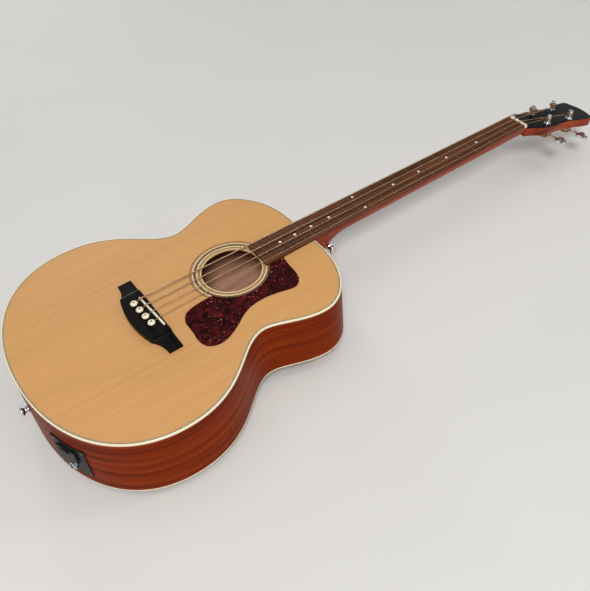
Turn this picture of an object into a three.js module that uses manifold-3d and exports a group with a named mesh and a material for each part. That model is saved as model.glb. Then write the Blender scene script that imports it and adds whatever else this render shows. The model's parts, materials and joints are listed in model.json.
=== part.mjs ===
// Acoustic bass guitar with a jumbo body, lying on its back. +X runs from the tail to the headstock, +Y to
// the bass side and +Z out of the soundboard. It is drawn in millimetres with x = 0 at the nut, where the
// strings' speaking length starts, y = 0 on the centre line and z = 0 on the soundboard's face, and set down
// on its back at the end.

import * as THREE from 'three';
import { mergeVertices } from 'three/addons/utils/BufferGeometryUtils.js';
import Module from 'manifold-3d';

const wasm = await Module();
wasm.setup();

// Clearances shared by all pieces
const glueGap = 0.1;
const seatGap = 0.3;
const overrun = 1;
const weldDistance = 1e-4;
const cornerShare = 0.45;
const parallelShare = 0.1;

// Scale and frets
const scaleLength = 781;
const notesPerOctave = 12;
const fretCount = 23;
const jointFret = 17;
const jointPastFret = 3.5;
const neckAngle = THREE.MathUtils.degToRad(0.85);

// Body outline
const bodyLength = 509;
const lowerBoutWidth = 437;
const lowerBoutShare = 0.326;
const waistWidth = 274;
const waistShare = 0.662;
const upperBoutWidth = 327;
const upperBoutShare = 0.846;
const shoulderWidth = 88;
const tailCurveShares = [0.6, 0.62];
const lowerCurveShares = [0.57, 0.27];
const upperCurveShares = [0.24, 0.4];
const shoulderCurveShares = [0.59, 0.51];
const outlineSteps = [9, 8, 6, 8];
const depthAtTail = 120.5;
const depthAtNeck = 96.5;

// Plates, sides, bindings and linings
const topThickness = 2.8;
const backThickness = 3;
const backArch = 12;
const backArchSteps = 3;
const sideThickness = 2.4;
const bindingWidth = 2;
const bindingHeight = 6.5;
const liningWidth = 6.5;
const liningHeight = 14;
const liningTip = 2.5;

// Blocks and braces
const neckBlockLength = 42;
const neckBlockWidth = 76;
const tailBlockLength = 20;
const tailBlockWidth = 76;
const braceWidth = 8;
const braceHeight = 15;
const braceCrossAheadOfSaddle = 32.8;
const braceAngle = THREE.MathUtils.degToRad(45);
const braceLength = 330;
const transverseBraceShare = 0.485;
const transverseBraceWidth = 12;
const transverseBraceHeight = 18;
const braceScallopShare = 0.35;
const braceTipShare = 0.25;
const bridgePlateThickness = 3;
const bridgePlateBehindSaddle = 2.2;
const bridgePlateDepth = 30;

// Soundhole, rosette and pickguard
const holeShare = 0.4963;
const holeRadius = 48.7;
const rosetteRadius = 68;
const rosetteThickness = 1.2;
const pickguardThickness = 0.9;
const pickguardLength = 198;
const pickguardWidth = 92;
const pickguardAheadOfHole = 80.8;
const pickguardFromCentre = 30;
const pickguardRingRadius = 61.5;
const pickguardSteps = 48;
const pickguardEdgeShares = [
  [0.015, 0.2], [0.023, 0.44], [0.045, 0.59], [0.09, 0.695], [0.14, 0.71], [0.19, 0.685],
  [0.285, 0.63], [0.39, 0.6], [0.495, 0.62], [0.585, 0.695], [0.68, 0.83], [0.775, 0.945],
  [0.855, 0.995], [0.915, 0.985], [0.965, 0.925], [0.993, 0.81], [1, 0.67], [0.992, 0.54],
  [0.99, 0.39], [0.986, 0.25], [0.955, 0.12], [0.912, 0.05], [0.836, 0.012], [0.765, 0],
];

// Bridge, saddle and pins
const bridgeAheadOfSaddle = 6.8;
const bridgeSpan = 172;
const bridgeMiddleSpan = 103;
const bridgeOffset = -5.5;
const bridgeWingDepth = 23;
const bridgeMiddleDepth = 34.5;
const bridgeBelly = 16;
const bridgeHeight = 9.5;
const bridgeWingHeight = 4.5;
const bridgeTipHeight = 3.8;
const bridgeScoop = 8;
const bridgeShoulderShare = 0.4;
const bridgeScoopShare = 0.25;
const bridgeSteps = 9;
const bridgeScoopSteps = 5;
const saddleCompensation = 1.8;
const saddleSlant = THREE.MathUtils.degToRad(3.3);
const saddleThickness = 3;
const saddleSpan = 74;
const saddleOffset = -8;
const saddleSlotDepth = 5;
const pinFromSaddle = 13;
const pinRowOffset = -3.5;
const pinHeadRadius = 4.9;
const pinHeadHeight = 3.6;
const pinStand = 0.5;
const pinTopRadius = 2.7;
const pinTipRadius = 2.2;
const pinLength = 22;
const pinHoleClearance = 0.3;
const pinPointShare = 0.6;
const pinHeadShares = [[1, 0], [0.9, 0.55], [0.5, 0.92], [0, 1]];

// Strings, from bass to treble
const stringNames = ['E', 'A', 'D', 'G'];
const stringDiameters = [2.55, 2.05, 1.65, 1.2];
const stringSpacingAtBridge = 17.4;
const stringSpacingAtNut = 11.6;
const stringDip = 3;
const stringTail = 7;
const stringBendLength = 2.2;
const stringSlotShare = 0.25;
const twelfthFretAction = 1.7;
const nutAction = 0.5;
const windingTurns = 2;
const windingGap = 0.5;
const windingStepsPerTurn = 24;
const stringSides = 6;
const windingStart = 7;

// Fingerboard, frets and nut
const boardThickness = 4.8;
const boardWidthAtNut = 43;
const boardWidthAtEnd = 58;
const boardPastLastFret = 13.4;
const boardRadius = 400;
const boardArcSteps = 3;
const fretHeight = 1.1;
const fretWidth = 2.8;
const fretCrownWidth = 1.1;
const fretSink = 0.6;
const fretInset = 0.4;
const nutThickness = 5.5;
const nutRise = 1;

// Neck and heel
const neckDepthAtNut = 20;
const neckDepthAtHeel = 23;
const heelDepth = 92;
const heelLength = 75;
const heelCapLength = 20;
const heelPinch = 0.42;
const neckSteps = 4;
const heelSteps = 7;
const neckArcSteps = 10;
const neckRoundness = 0.85;
const heelRoundness = 0.6;
const tenonWidth = 22;
const tenonLength = 18;
const tenonTop = 22;
const tenonBottom = 78;
const rodDiameter = 6;
const rodChannelDepth = 9;
const rodChannelWidth = 6.8;
const rodEndMargin = 26;

// Headstock
const headstockTilt = THREE.MathUtils.degToRad(14.3);
const headstockStep = 2.1;
const headstockLength = 192;
const headstockThickness = 17;
const faceThickness = 1.5;
const headstockFlareWidth = 64;
const headstockFlareFromNut = 54;
const headstockScoopWidth = 57;
const headstockScoopFromNut = 106;
const headstockTopWidth = 71;
const headstockTopFromNut = 178;
const headstockCrown = 8;
const headstockCurveSteps = 4;
const nutCurveShares = [0.4, 0.55];
const flareCurveShares = [1.4, 0.8];
const scoopCurveShares = [1.3, 0.86];
const crownShares = [0.75, 0.3];

// Machine heads
const nearPostFromNut = 61;
const farPostFromNut = 125;
const nearPostOffset = 20.5;
const farPostOffset = 22;
const gearTeeth = 20;
const gearModule = 0.85;
const gearThickness = 5;
const toothAddendum = 0.72;
const toothDedendum = 0.95;
const toothWidth = 1.02;
const toothTipShare = 0.5;
const wormPitchRadius = 3.4;
const wormThreadWidth = 0.92;
const threadTurns = 3;
const wormStepsPerTurn = 10;
const wormEarGap = 0.5;
const plateThickness = 1.6;
const plateHalfWidth = 8.4;
const plateReachFront = 20;
const plateReachBack = 12;
const earThickness = 2.2;
const earRadius = 4.4;
const earSteps = 4;
const plateCornerShare = 0.5;
const plateSteps = 2;
const bearingClearance = 0.25;
const postRadius = 4;
const postTopRadius = 4.6;
const postHeight = 17.3;
const postStubRadius = 2.6;
const postHoleRadius = 1.4;
const postHoleHeight = 14.6;
const postScrewRadius = 3.8;
const postScrewHeight = 1.6;
const postCrownShare = 0.9;
const bushingRadius = 5.6;
const bushingFlangeRadius = 7;
const bushingFlangeHeight = 1.2;
const bushingCollarHeight = 4.6;
const bushingDepth = 9;
const keyStemLength = 17;
const keyCollarRadius = 3.6;
const keyCollarLength = 3;
const keyLeafRadius = 10.5;
const keyLeafSwell = 2.6;
const keyLeafCount = 3;
const keyLeafThickness = 5;
const keyLeafBevel = 1.2;
const keyLeafSteps = 24;
const roundSides = 12;
const ringSides = 32;
const shaftSides = 10;

// Strap button and end pin
const buttonFlangeRadius = 7.5;
const buttonFlangeThickness = 3;
const buttonWaistRadius = 4;
const buttonBaseRadius = 6;
const buttonBaseThickness = 2;
const buttonLength = 12;
const buttonWaistShare = 0.45;
const buttonCrownShare = 0.8;
const buttonShankRadius = 2.4;
const buttonShankLength = 12;
const strapButtonFromBody = 30;
const strapButtonDepth = 33;
const endPinDepth = 60;

// Combined battery and jack housing, let into the treble side near the tail
const housingFromCentre = 111;
const housingDepth = 66;
const housingWidth = 64;
const housingHeight = 60;
const flangeThickness = 2.6;
const sideOpeningWidth = 50;
const sideOpeningHeight = 54;
const batteryWidth = 26.5;
const batteryHeight = 17.5;
const batteryLength = 48.5;
const trayWall = 1.6;
const housingWall = 1.8;
const drawerFaceThickness = 3;
const drawerFaceMargin = 3;
const drawerLipDepth = 2.4;
const drawerLipHeight = 4;
const drawerRise = 10.5;
const jackDrop = 19;
const jackBoreRadius = 3.6;
const jackBarrelRadius = 5;
const jackBarrelLength = 5.5;
const jackNutRadius = 7.5;
const jackNutThickness = 2.4;
const jackBodyRadius = 7;
const jackBodyLength = 22;
const jackEndWall = 1;

// Control pod under the soundboard, with two thumb wheels at the soundhole's rim
const podAngle = THREE.MathUtils.degToRad(141);
const podFromHoleEdge = 1.8;
const podDepth = 21;
const podSpan = 44;
const podHeight = 10;
const wheelRadius = 8;
const wheelThickness = 3.2;
const wheelSpacing = 21;
const wheelReach = 3;
const wheelDrop = 1.2;
const wheelKnurls = 16;
const wheelKnurlDepth = 0.5;
const spindleRadius = 1.6;
const spindleClearance = 0.3;
const boreSteps = 5;

// Finishes
const finish = (color, roughness, metalness = 0) => ({ color, roughness, metalness });
const spruce = finish(0xcf9f63, 0.5);
const innerSpruce = finish(0xd8b684, 0.75);
const mahogany = finish(0x7c3418, 0.45);
const innerWood = finish(0x9b6a46, 0.8);
const cream = finish(0xe6d3ac, 0.4);
const rosewood = finish(0x4a2c1f, 0.55);
const ebony = finish(0x121010, 0.4);
const blackGloss = finish(0x0c0c0d, 0.2);
const bone = finish(0xefe8d8, 0.45);
const tortoise = finish(0x4a130f, 0.2);
const chrome = finish(0xc9cbcd, 0.2, 1);
const brass = finish(0xb58c43, 0.35, 1);
const bronze = finish(0xb07a4a, 0.4, 1);
const steel = finish(0x9a9c9e, 0.4, 1);
const blackPlastic = finish(0x151516, 0.5);
const batterySteel = finish(0x5b6068, 0.4, 0.6);

// Places that follow from the sizes
const fretDistance = (n) => scaleLength * (1 - 2 ** (-n / notesPerOctave));
const jointX = -fretDistance(jointFret) - jointPastFret;
const tailX = jointX - bodyLength;
const lowerBoutX = tailX + bodyLength * lowerBoutShare;
const boardLength = fretDistance(fretCount) + boardPastLastFret;
const saddleLineX = -scaleLength - saddleCompensation;
const holeX = jointX + (saddleLineX - jointX) * holeShare;
const braceCrossX = saddleLineX + braceCrossAheadOfSaddle;
const headstockSlope = Math.tan(headstockTilt);
const neckSlope = Math.tan(neckAngle);
const circularPitch = Math.PI * gearModule;
const gearRadius = (gearTeeth * gearModule) / 2;
const stringCount = stringNames.length;

function sideDepth(x) {
  const along = (jointX - x) / bodyLength;
  return depthAtNeck + (depthAtTail - depthAtNeck) * along;
}

function neckTop(x) {
  return x > jointX ? -neckSlope * (x - jointX) : 0;
}

function boardTop(x) {
  return boardThickness - neckSlope * (x - jointX);
}

function boardHalfWidth(x) {
  return (boardWidthAtNut + (boardWidthAtEnd - boardWidthAtNut) * (-x / boardLength)) / 2;
}

function saddleX(y) {
  return saddleLineX - y * Math.tan(saddleSlant);
}

// Solids: closed meshes in and out of the boolean library
function toSolid(geometry) {
  const bare = geometry.clone();
  bare.deleteAttribute('normal');
  bare.deleteAttribute('uv');
  const merged = mergeVertices(bare, weldDistance);
  const triVerts = [];
  const index = merged.index.array;
  for (let i = 0; i < index.length; i += 3) {
    const [a, b, c] = [index[i], index[i + 1], index[i + 2]];
    if (a !== b && b !== c && c !== a) triVerts.push(a, b, c);
  }
  return new wasm.Manifold(new wasm.Mesh({
    numProp: 3,
    vertProperties: new Float32Array(merged.attributes.position.array),
    triVerts: new Uint32Array(triVerts),
  }));
}

function toGeometry(solid) {
  const mesh = solid.getMesh();
  const geometry = new THREE.BufferGeometry();
  geometry.setAttribute('position', new THREE.BufferAttribute(mesh.vertProperties, 3));
  geometry.setIndex(new THREE.BufferAttribute(mesh.triVerts, 1));
  geometry.computeVertexNormals();
  return geometry;
}

function cut(geometry, ...tools) {
  let solid = toSolid(geometry);
  for (const tool of tools) solid = solid.subtract(toSolid(tool));
  return toGeometry(solid);
}

function join(geometry, ...others) {
  let solid = toSolid(geometry);
  for (const other of others) solid = solid.add(toSolid(other));
  return toGeometry(solid);
}

function common(geometry, other) {
  return toGeometry(toSolid(geometry).intersect(toSolid(other)));
}

function signedVolume(positions, triangles) {
  const [a, b, c] = [new THREE.Vector3(), new THREE.Vector3(), new THREE.Vector3()];
  let volume = 0;
  for (let i = 0; i < triangles.length; i += 3) {
    a.copy(positions[triangles[i]]);
    b.copy(positions[triangles[i + 1]]);
    c.copy(positions[triangles[i + 2]]);
    volume += a.dot(b.cross(c)) / 6;
  }
  return volume;
}

function meshFrom(positions, triangles) {
  if (signedVolume(positions, triangles) < 0) {
    for (let i = 0; i < triangles.length; i += 3) {
      [triangles[i], triangles[i + 1]] = [triangles[i + 1], triangles[i]];
    }
  }
  const geometry = new THREE.BufferGeometry().setFromPoints(positions);
  geometry.setIndex(triangles);
  geometry.computeVertexNormals();
  return geometry;
}

// Joins rings of points into a skin. A closed run comes back to its first ring, an open one is capped
function loft(rings, closedRun = false) {
  const count = rings[0].length;
  const positions = rings.flat();
  const triangles = [];
  const runs = closedRun ? rings.length : rings.length - 1;
  for (let r = 0; r < runs; r += 1) {
    const here = r * count;
    const next = ((r + 1) % rings.length) * count;
    for (let i = 0; i < count; i += 1) {
      const j = (i + 1) % count;
      triangles.push(here + i, here + j, next + j, here + i, next + j, next + i);
    }
  }
  if (!closedRun) {
    for (const [base, flip] of [[0, true], [(rings.length - 1) * count, false]]) {
      for (const face of capTriangles(positions.slice(base, base + count))) {
        const [a, b, c] = face.map((k) => base + k);
        triangles.push(...(flip ? [a, c, b] : [a, b, c]));
      }
    }
  }
  return meshFrom(positions, triangles);
}

// Triangles of a flat ring, turning the same way as the ring does
function capTriangles(ring) {
  const normal = new THREE.Vector3();
  ring.forEach((p, i) => normal.add(p.clone().cross(ring[(i + 1) % ring.length])));
  normal.normalize();
  const u = new THREE.Vector3().subVectors(ring[1], ring[0]).normalize();
  const v = new THREE.Vector3().crossVectors(normal, u);
  const flat = ring.map((p) => new THREE.Vector2(p.dot(u), p.dot(v)));
  return THREE.ShapeUtils.triangulateShape(flat, []);
}

function extrude(shape, bottom, height, curveSegments = headstockCurveSteps) {
  const geometry = new THREE.ExtrudeGeometry(shape, { depth: height, bevelEnabled: false, curveSegments });
  return geometry.translate(0, 0, bottom);
}

function cylinder(radius, bottom, top, sides = roundSides) {
  const geometry = new THREE.CylinderGeometry(radius, radius, top - bottom, sides);
  return geometry.rotateX(Math.PI / 2).translate(0, 0, (bottom + top) / 2);
}

function box(x0, x1, y0, y1, z0, z1) {
  const geometry = new THREE.BoxGeometry(x1 - x0, y1 - y0, z1 - z0);
  return geometry.translate((x0 + x1) / 2, (y0 + y1) / 2, (z0 + z1) / 2);
}

// A turned piece: its profile is a list of [radius, height] along Z
function turned(profile, sides = roundSides) {
  const points = profile.map(([radius, height]) => new THREE.Vector2(radius, height));
  const raw = new THREE.LatheGeometry(points, sides).rotateX(Math.PI / 2);
  const merged = toSolid(raw);
  return merged.volume() < 0 ? toGeometry(toSolid(flipped(raw))) : toGeometry(merged);
}

function flipped(geometry) {
  const copy = geometry.clone();
  const index = copy.index.array;
  for (let i = 0; i < index.length; i += 3) [index[i], index[i + 1]] = [index[i + 1], index[i]];
  return copy;
}

// A round tube along a list of points, with rings that stay square to the path
function tube(points, radius, sides = stringSides) {
  const tangents = points.map((p, i) => {
    const before = points[Math.max(i - 1, 0)];
    const after = points[Math.min(i + 1, points.length - 1)];
    return new THREE.Vector3().subVectors(after, before).normalize();
  });
  let side = new THREE.Vector3(0, 1, 0).cross(tangents[0]);
  if (side.lengthSq() < parallelShare) side = new THREE.Vector3(1, 0, 0).cross(tangents[0]);
  const rings = points.map((p, i) => {
    side.addScaledVector(tangents[i], -side.dot(tangents[i])).normalize();
    const other = new THREE.Vector3().crossVectors(tangents[i], side);
    return Array.from({ length: sides }, (_, k) => {
      const angle = (k / sides) * 2 * Math.PI;
      return p.clone().addScaledVector(side, radius * Math.cos(angle))
        .addScaledVector(other, radius * Math.sin(angle));
    });
  });
  return loft(rings);
}

// A path with its corners rounded, each by a short curve of a few steps
function roundedPath(corners, bend, steps = 2) {
  const path = [corners[0].clone()];
  for (let i = 1; i < corners.length - 1; i += 1) {
    const here = corners[i];
    const [start, end] = [corners[i - 1], corners[i + 1]].map((far) => (
      here.clone().lerp(far, Math.min(bend / here.distanceTo(far), cornerShare))
    ));
    path.push(...new THREE.QuadraticBezierCurve3(start, here, end).getPoints(steps));
  }
  path.push(corners[corners.length - 1].clone());
  return path;
}

// Body outline: four curves from the tail to the neck on the bass side, mirrored to the treble side
function halfOutline() {
  const p = (x, y) => new THREE.Vector2(x, y);
  const lower = p(lowerBoutX, lowerBoutWidth / 2);
  const waist = p(tailX + bodyLength * waistShare, waistWidth / 2);
  const upper = p(tailX + bodyLength * upperBoutShare, upperBoutWidth / 2);
  const shoulder = p(jointX, shoulderWidth / 2);
  const curves = [
    new THREE.CubicBezierCurve(
      p(tailX, 0), p(tailX, lower.y * tailCurveShares[0]),
      p(lower.x - (lower.x - tailX) * tailCurveShares[1], lower.y), lower,
    ),
    new THREE.CubicBezierCurve(
      lower, p(lower.x + (waist.x - lower.x) * lowerCurveShares[0], lower.y),
      p(waist.x - (waist.x - lower.x) * lowerCurveShares[1], waist.y), waist,
    ),
    new THREE.CubicBezierCurve(
      waist, p(waist.x + (upper.x - waist.x) * upperCurveShares[0], waist.y),
      p(upper.x - (upper.x - waist.x) * upperCurveShares[1], upper.y), upper,
    ),
    new THREE.CubicBezierCurve(
      upper, p(upper.x + (jointX - upper.x) * shoulderCurveShares[0], upper.y),
      p(jointX, shoulder.y + (upper.y - shoulder.y) * shoulderCurveShares[1]), shoulder,
    ),
  ];
  const samples = [];
  curves.forEach((curve, c) => {
    for (let i = c === 0 ? 0 : 1; i <= outlineSteps[c]; i += 1) {
      const t = i / outlineSteps[c];
      const point = curve.getPoint(t);
      const tangent = curve.getTangent(t);
      samples.push({ x: point.x, y: point.y, nx: -tangent.y, ny: tangent.x });
    }
  });
  samples.push({ x: jointX, y: 0, nx: 1, ny: 0 });
  return samples;
}

const bassSamples = halfOutline();
const mirrorSample = ({ x, y, nx, ny }) => ({ x, y: -y, nx, ny: -ny });
const trebleSamples = bassSamples.map(mirrorSample).reverse();
const samples = [...bassSamples, ...trebleSamples.slice(1, -1)];

const insetPoint = (s, inset) => new THREE.Vector2(s.x - s.nx * inset, s.y - s.ny * inset);

function bodyShape(inset) {
  return new THREE.Shape(samples.map((s) => insetPoint(s, inset)));
}

// A rim that runs round the body: its section is a list of [inset, height] for each place on the outline
function rimRing(sample, section) {
  return section(sample).map(([inset, z]) => {
    const { x, y } = insetPoint(sample, inset);
    return new THREE.Vector3(x, y, z);
  });
}

function rim(section) {
  return loft(samples.map((s) => rimRing(s, section)), true);
}

const meshes = new THREE.Group();

function add(name, geometry, look, parent = meshes) {
  const mesh = new THREE.Mesh(geometry, new THREE.MeshStandardMaterial(look));
  mesh.name = name;
  parent.add(mesh);
  return mesh;
}

// Soundboard: a spruce plate inside the binding, with the soundhole and the rosette's recess
function soundboard() {
  const plate = extrude(bodyShape(bindingWidth + glueGap), -topThickness, topThickness);
  const hole = cylinder(holeRadius, -topThickness - overrun, overrun, ringSides).translate(holeX, 0, 0);
  const recessDepth = rosetteThickness + glueGap;
  const recess = cylinder(rosetteRadius + glueGap, -recessDepth, overrun, ringSides).translate(holeX, 0, 0);
  return cut(plate, hole, recess, ...pinHoles());
}

// Rosette: a flush ring from the soundhole's edge outwards
function rosette() {
  const ring = cylinder(rosetteRadius, -rosetteThickness, 0, ringSides);
  const hole = cylinder(holeRadius, -rosetteThickness - overrun, overrun, ringSides);
  return cut(ring, hole).translate(holeX, 0, 0);
}

// Back: an arched plate whose skin rises from the rim to a spine along the centre line
function back() {
  const spineStart = (tailX + lowerBoutX) / 2;
  const spineEnd = jointX - shoulderWidth / 2;
  const skin = (lift) => (s) => {
    const edge = insetPoint(s, bindingWidth + glueGap);
    const along = (edge.x - tailX) / bodyLength;
    const spineX = spineStart + along * (spineEnd - spineStart);
    return Array.from({ length: backArchSteps + 1 }, (_, k) => {
      const share = k / backArchSteps;
      const x = edge.x + (spineX - edge.x) * share;
      const arch = backArch * (2 * share - share * share);
      return new THREE.Vector3(x, edge.y * (1 - share), -sideDepth(x) - arch + lift);
    });
  };
  const outer = skin(0);
  const inner = skin(backThickness);
  const rings = samples.map((s) => [...outer(s), ...inner(s).reverse()]);
  return toGeometry(toSolid(loft(rings, true)));
}

// Sides: two bent strips that meet at the tail and stop at the neck's tenon
function sideSection(s) {
  const top = -bindingHeight - glueGap;
  const bottom = -sideDepth(s.x) + bindingHeight + glueGap;
  return [[0, top], [0, bottom], [sideThickness, bottom], [sideThickness, top]];
}

function side(run, direction) {
  const rings = run.map((s) => rimRing(s, sideSection));
  const tailRing = direction > 0 ? rings[0] : rings[rings.length - 1];
  const neckRing = direction > 0 ? rings[rings.length - 1] : rings[0];
  for (const point of tailRing) point.y += direction * glueGap;
  for (const point of neckRing) point.y += direction * (tenonWidth / 2 + seatGap);
  return cut(loft(rings), endPinHole());
}

function bindingSection(edge, height) {
  return (s) => {
    const z = edge(s);
    return [[0, z], [bindingWidth, z], [bindingWidth, z + height], [0, z + height]];
  };
}

// Linings: strips with a slanted inner edge, glued along the corners of the box
function liningSection(edge, direction, clearance = 0) {
  const outer = sideThickness + glueGap - clearance;
  const inner = outer + liningWidth + 2 * clearance;
  const tip = outer + liningTip + 2 * clearance;
  return (s) => {
    const z = edge(s) - direction * clearance;
    const end = z + direction * (liningHeight + 2 * clearance);
    return [[outer, z], [inner, z], [tip, end], [outer, end]];
  };
}

const topLiningEdge = () => -topThickness;
const backLiningEdge = (s) => -sideDepth(s.x) + backThickness + glueGap;

function block(x0, x1, width, mortise) {
  const top = -topThickness;
  const bottom = -Math.min(sideDepth(x0), sideDepth(x1)) + backThickness + seatGap;
  const inside = extrude(bodyShape(sideThickness + glueGap), bottom, top - bottom);
  const limits = box(x0, x1, -width / 2, width / 2, bottom, top);
  return cut(
    common(inside, limits),
    rim(liningSection(topLiningEdge, -1, seatGap)),
    rim(liningSection(backLiningEdge, 1, seatGap)),
    mortise,
  );
}

// Braces: bars under the soundboard, the two long ones halved into each other where they cross
function brace(width, height, length, angle, x) {
  const end = length / 2;
  const scallop = end * braceScallopShare;
  const tip = height * braceTipShare;
  const profile = new THREE.Shape([
    new THREE.Vector2(-end, 0), new THREE.Vector2(-end, -tip), new THREE.Vector2(-end + scallop, -height),
    new THREE.Vector2(end - scallop, -height), new THREE.Vector2(end, -tip), new THREE.Vector2(end, 0),
  ]);
  const bar = new THREE.ExtrudeGeometry(profile, { depth: width, bevelEnabled: false });
  bar.translate(0, 0, -width / 2).rotateX(Math.PI / 2).rotateZ(angle).translate(x, 0, -topThickness);
  const clearOfLining = bodyShape(sideThickness + glueGap + liningWidth + seatGap);
  return common(bar, extrude(clearOfLining, -topThickness - height - overrun, height + overrun));
}

function braceHalving(angle, bottom, top) {
  const half = braceWidth / 2 + seatGap;
  const tool = box(-braceWidth, braceWidth, -half, half, bottom, top);
  return tool.rotateZ(angle).translate(braceCrossX, 0, -topThickness);
}

function bridgePlate() {
  const reach = (x) => (x - braceCrossX) * -Math.tan(braceAngle)
    - (braceWidth / 2 + seatGap) / Math.cos(braceAngle);
  const front = saddleLineX - bridgePlateBehindSaddle;
  const rear = front - bridgePlateDepth;
  const shape = new THREE.Shape([
    new THREE.Vector2(front, -reach(front)), new THREE.Vector2(front, reach(front)),
    new THREE.Vector2(rear, reach(rear)), new THREE.Vector2(rear, -reach(rear)),
  ]);
  return cut(extrude(shape, -topThickness - bridgePlateThickness, bridgePlateThickness), ...pinHoles());
}

// Pickguard: a thin plate on the soundboard, from the fingerboard's edge round the rosette
function pickguard() {
  const front = holeX + pickguardAheadOfHole;
  const place = ([along, across]) => new THREE.Vector2(
    front - along * pickguardLength, -pickguardFromCentre - across * pickguardWidth,
  );
  const start = new THREE.Vector2(front, -boardHalfWidth(front) - seatGap);
  const edge = new THREE.SplineCurve([start, ...pickguardEdgeShares.map(place)]).getPoints(pickguardSteps);
  const last = edge[edge.length - 1];
  const centreLine = [new THREE.Vector2(last.x, 0), new THREE.Vector2(start.x, 0)];
  const blank = extrude(new THREE.Shape([...edge, ...centreLine]), 0, pickguardThickness);
  const above = pickguardThickness + overrun;
  const ring = cylinder(pickguardRingRadius, -overrun, above, ringSides).translate(holeX, 0, 0);
  const board = boardFootprint(seatGap, -overrun, above);
  const behindRing = box(
    last.x - overrun, holeX, Math.max(last.y + glueGap, -boardHalfWidth(holeX) + seatGap), 0, -overrun, above,
  );
  return cut(blank, ring, board, behindRing);
}

// Bridge: a belly-shaped block with scooped wings, its saddle slot and its slotted pin holes
function bridge() {
  const front = saddleLineX + bridgeAheadOfSaddle;
  const half = bridgeSpan / 2;
  const middle = bridgeMiddleSpan / 2;
  const wing = front - bridgeWingDepth;
  const rear = front - bridgeMiddleDepth;
  const bend = middle + (half - middle) * bridgeShoulderShare;
  const dip = middle + bridgeScoop * bridgeScoopShare;
  const plan = new THREE.Shape();
  plan.moveTo(front, -half);
  plan.lineTo(front, half);
  plan.lineTo(wing, half);
  plan.quadraticCurveTo(wing, bend, rear, middle);
  plan.quadraticCurveTo(rear - bridgeBelly, 0, rear, -middle);
  plan.quadraticCurveTo(wing, -bend, wing, -half);
  const profile = new THREE.Shape();
  profile.moveTo(-half - overrun, 0);
  profile.lineTo(-half - overrun, bridgeTipHeight);
  profile.lineTo(-middle - bridgeScoop, bridgeWingHeight);
  profile.quadraticCurveTo(-dip, bridgeWingHeight, -middle, bridgeHeight);
  profile.lineTo(middle, bridgeHeight);
  profile.quadraticCurveTo(dip, bridgeWingHeight, middle + bridgeScoop, bridgeWingHeight);
  profile.lineTo(half + overrun, bridgeTipHeight);
  profile.lineTo(half + overrun, 0);
  const depth = bridgeMiddleDepth + bridgeBelly + 2 * overrun;
  const length = extrude(profile, 0, depth, bridgeScoopSteps);
  length.rotateX(Math.PI / 2).rotateZ(Math.PI / 2).translate(front + overrun - depth, 0, 0);
  const body = common(extrude(plan, 0, bridgeHeight, bridgeSteps), length).translate(0, bridgeOffset, 0);
  const slots = stringPaths.map(({ tail, radius }) => tube(tail, radius + seatGap));
  const saddleSlot = saddleStrip(glueGap + seatGap / 2, saddleSlotBottom, bridgeHeight + overrun);
  return cut(body, saddleSlot, ...pinHoles(), ...slots);
}

function saddleStrip(clearance, bottom, top) {
  const strip = box(
    -saddleThickness / 2 - clearance, saddleThickness / 2 + clearance,
    -saddleSpan / 2 - clearance, saddleSpan / 2 + clearance, bottom, top,
  );
  return strip.rotateZ(saddleSlant).translate(saddleX(saddleOffset), saddleOffset, 0);
}

const saddleSlotBottom = bridgeHeight - saddleSlotDepth;
const fretPlaneAt = (x) => boardTop(x) + fretHeight;
const saddleTop = fretPlaneAt(saddleX(0)) + 2 * twelfthFretAction - nutAction - seatGap;
const nutStringBottom = fretPlaneAt(0) + nutAction;

const pinPlaces = stringNames.map((_, i) => {
  const y = pinRowOffset + ((stringCount - 1) / 2 - i) * stringSpacingAtBridge;
  return new THREE.Vector3(saddleX(y) - pinFromSaddle, y, bridgeHeight + pinStand);
});

function pinHoles() {
  return pinPlaces.map(({ x, y }) => cylinder(
    pinTopRadius + pinHoleClearance, -topThickness - bridgePlateThickness - overrun, bridgeHeight + overrun,
  ).translate(x, y, 0));
}

function bridgePin() {
  return turned([
    [0, -pinLength], [pinTipRadius * pinPointShare, -pinLength], [pinTipRadius, -pinLength + pinTipRadius],
    [pinTopRadius, 0], ...pinHeadShares.map(([across, up]) => [pinHeadRadius * across, pinHeadHeight * up]),
  ]);
}

// Headstock frame: its origin is on the face at the nut, with its own +X towards the tip
const headstockOrigin = new THREE.Vector3(nutThickness, 0, neckTop(nutThickness) - headstockStep);
const headstock = new THREE.Group();
headstock.position.copy(headstockOrigin);
headstock.rotation.y = headstockTilt;
headstock.updateMatrixWorld(true);
const headToBody = headstock.matrix.clone();
const bodyToHead = headToBody.clone().invert();

// Posts: the two bass strings on the bass side, the two treble strings on the treble side
const posts = [
  { x: nearPostFromNut, y: nearPostOffset, side: 1 },
  { x: farPostFromNut, y: farPostOffset, side: 1 },
  { x: farPostFromNut, y: -farPostOffset, side: -1 },
  { x: nearPostFromNut, y: -nearPostOffset, side: -1 },
];

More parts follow.
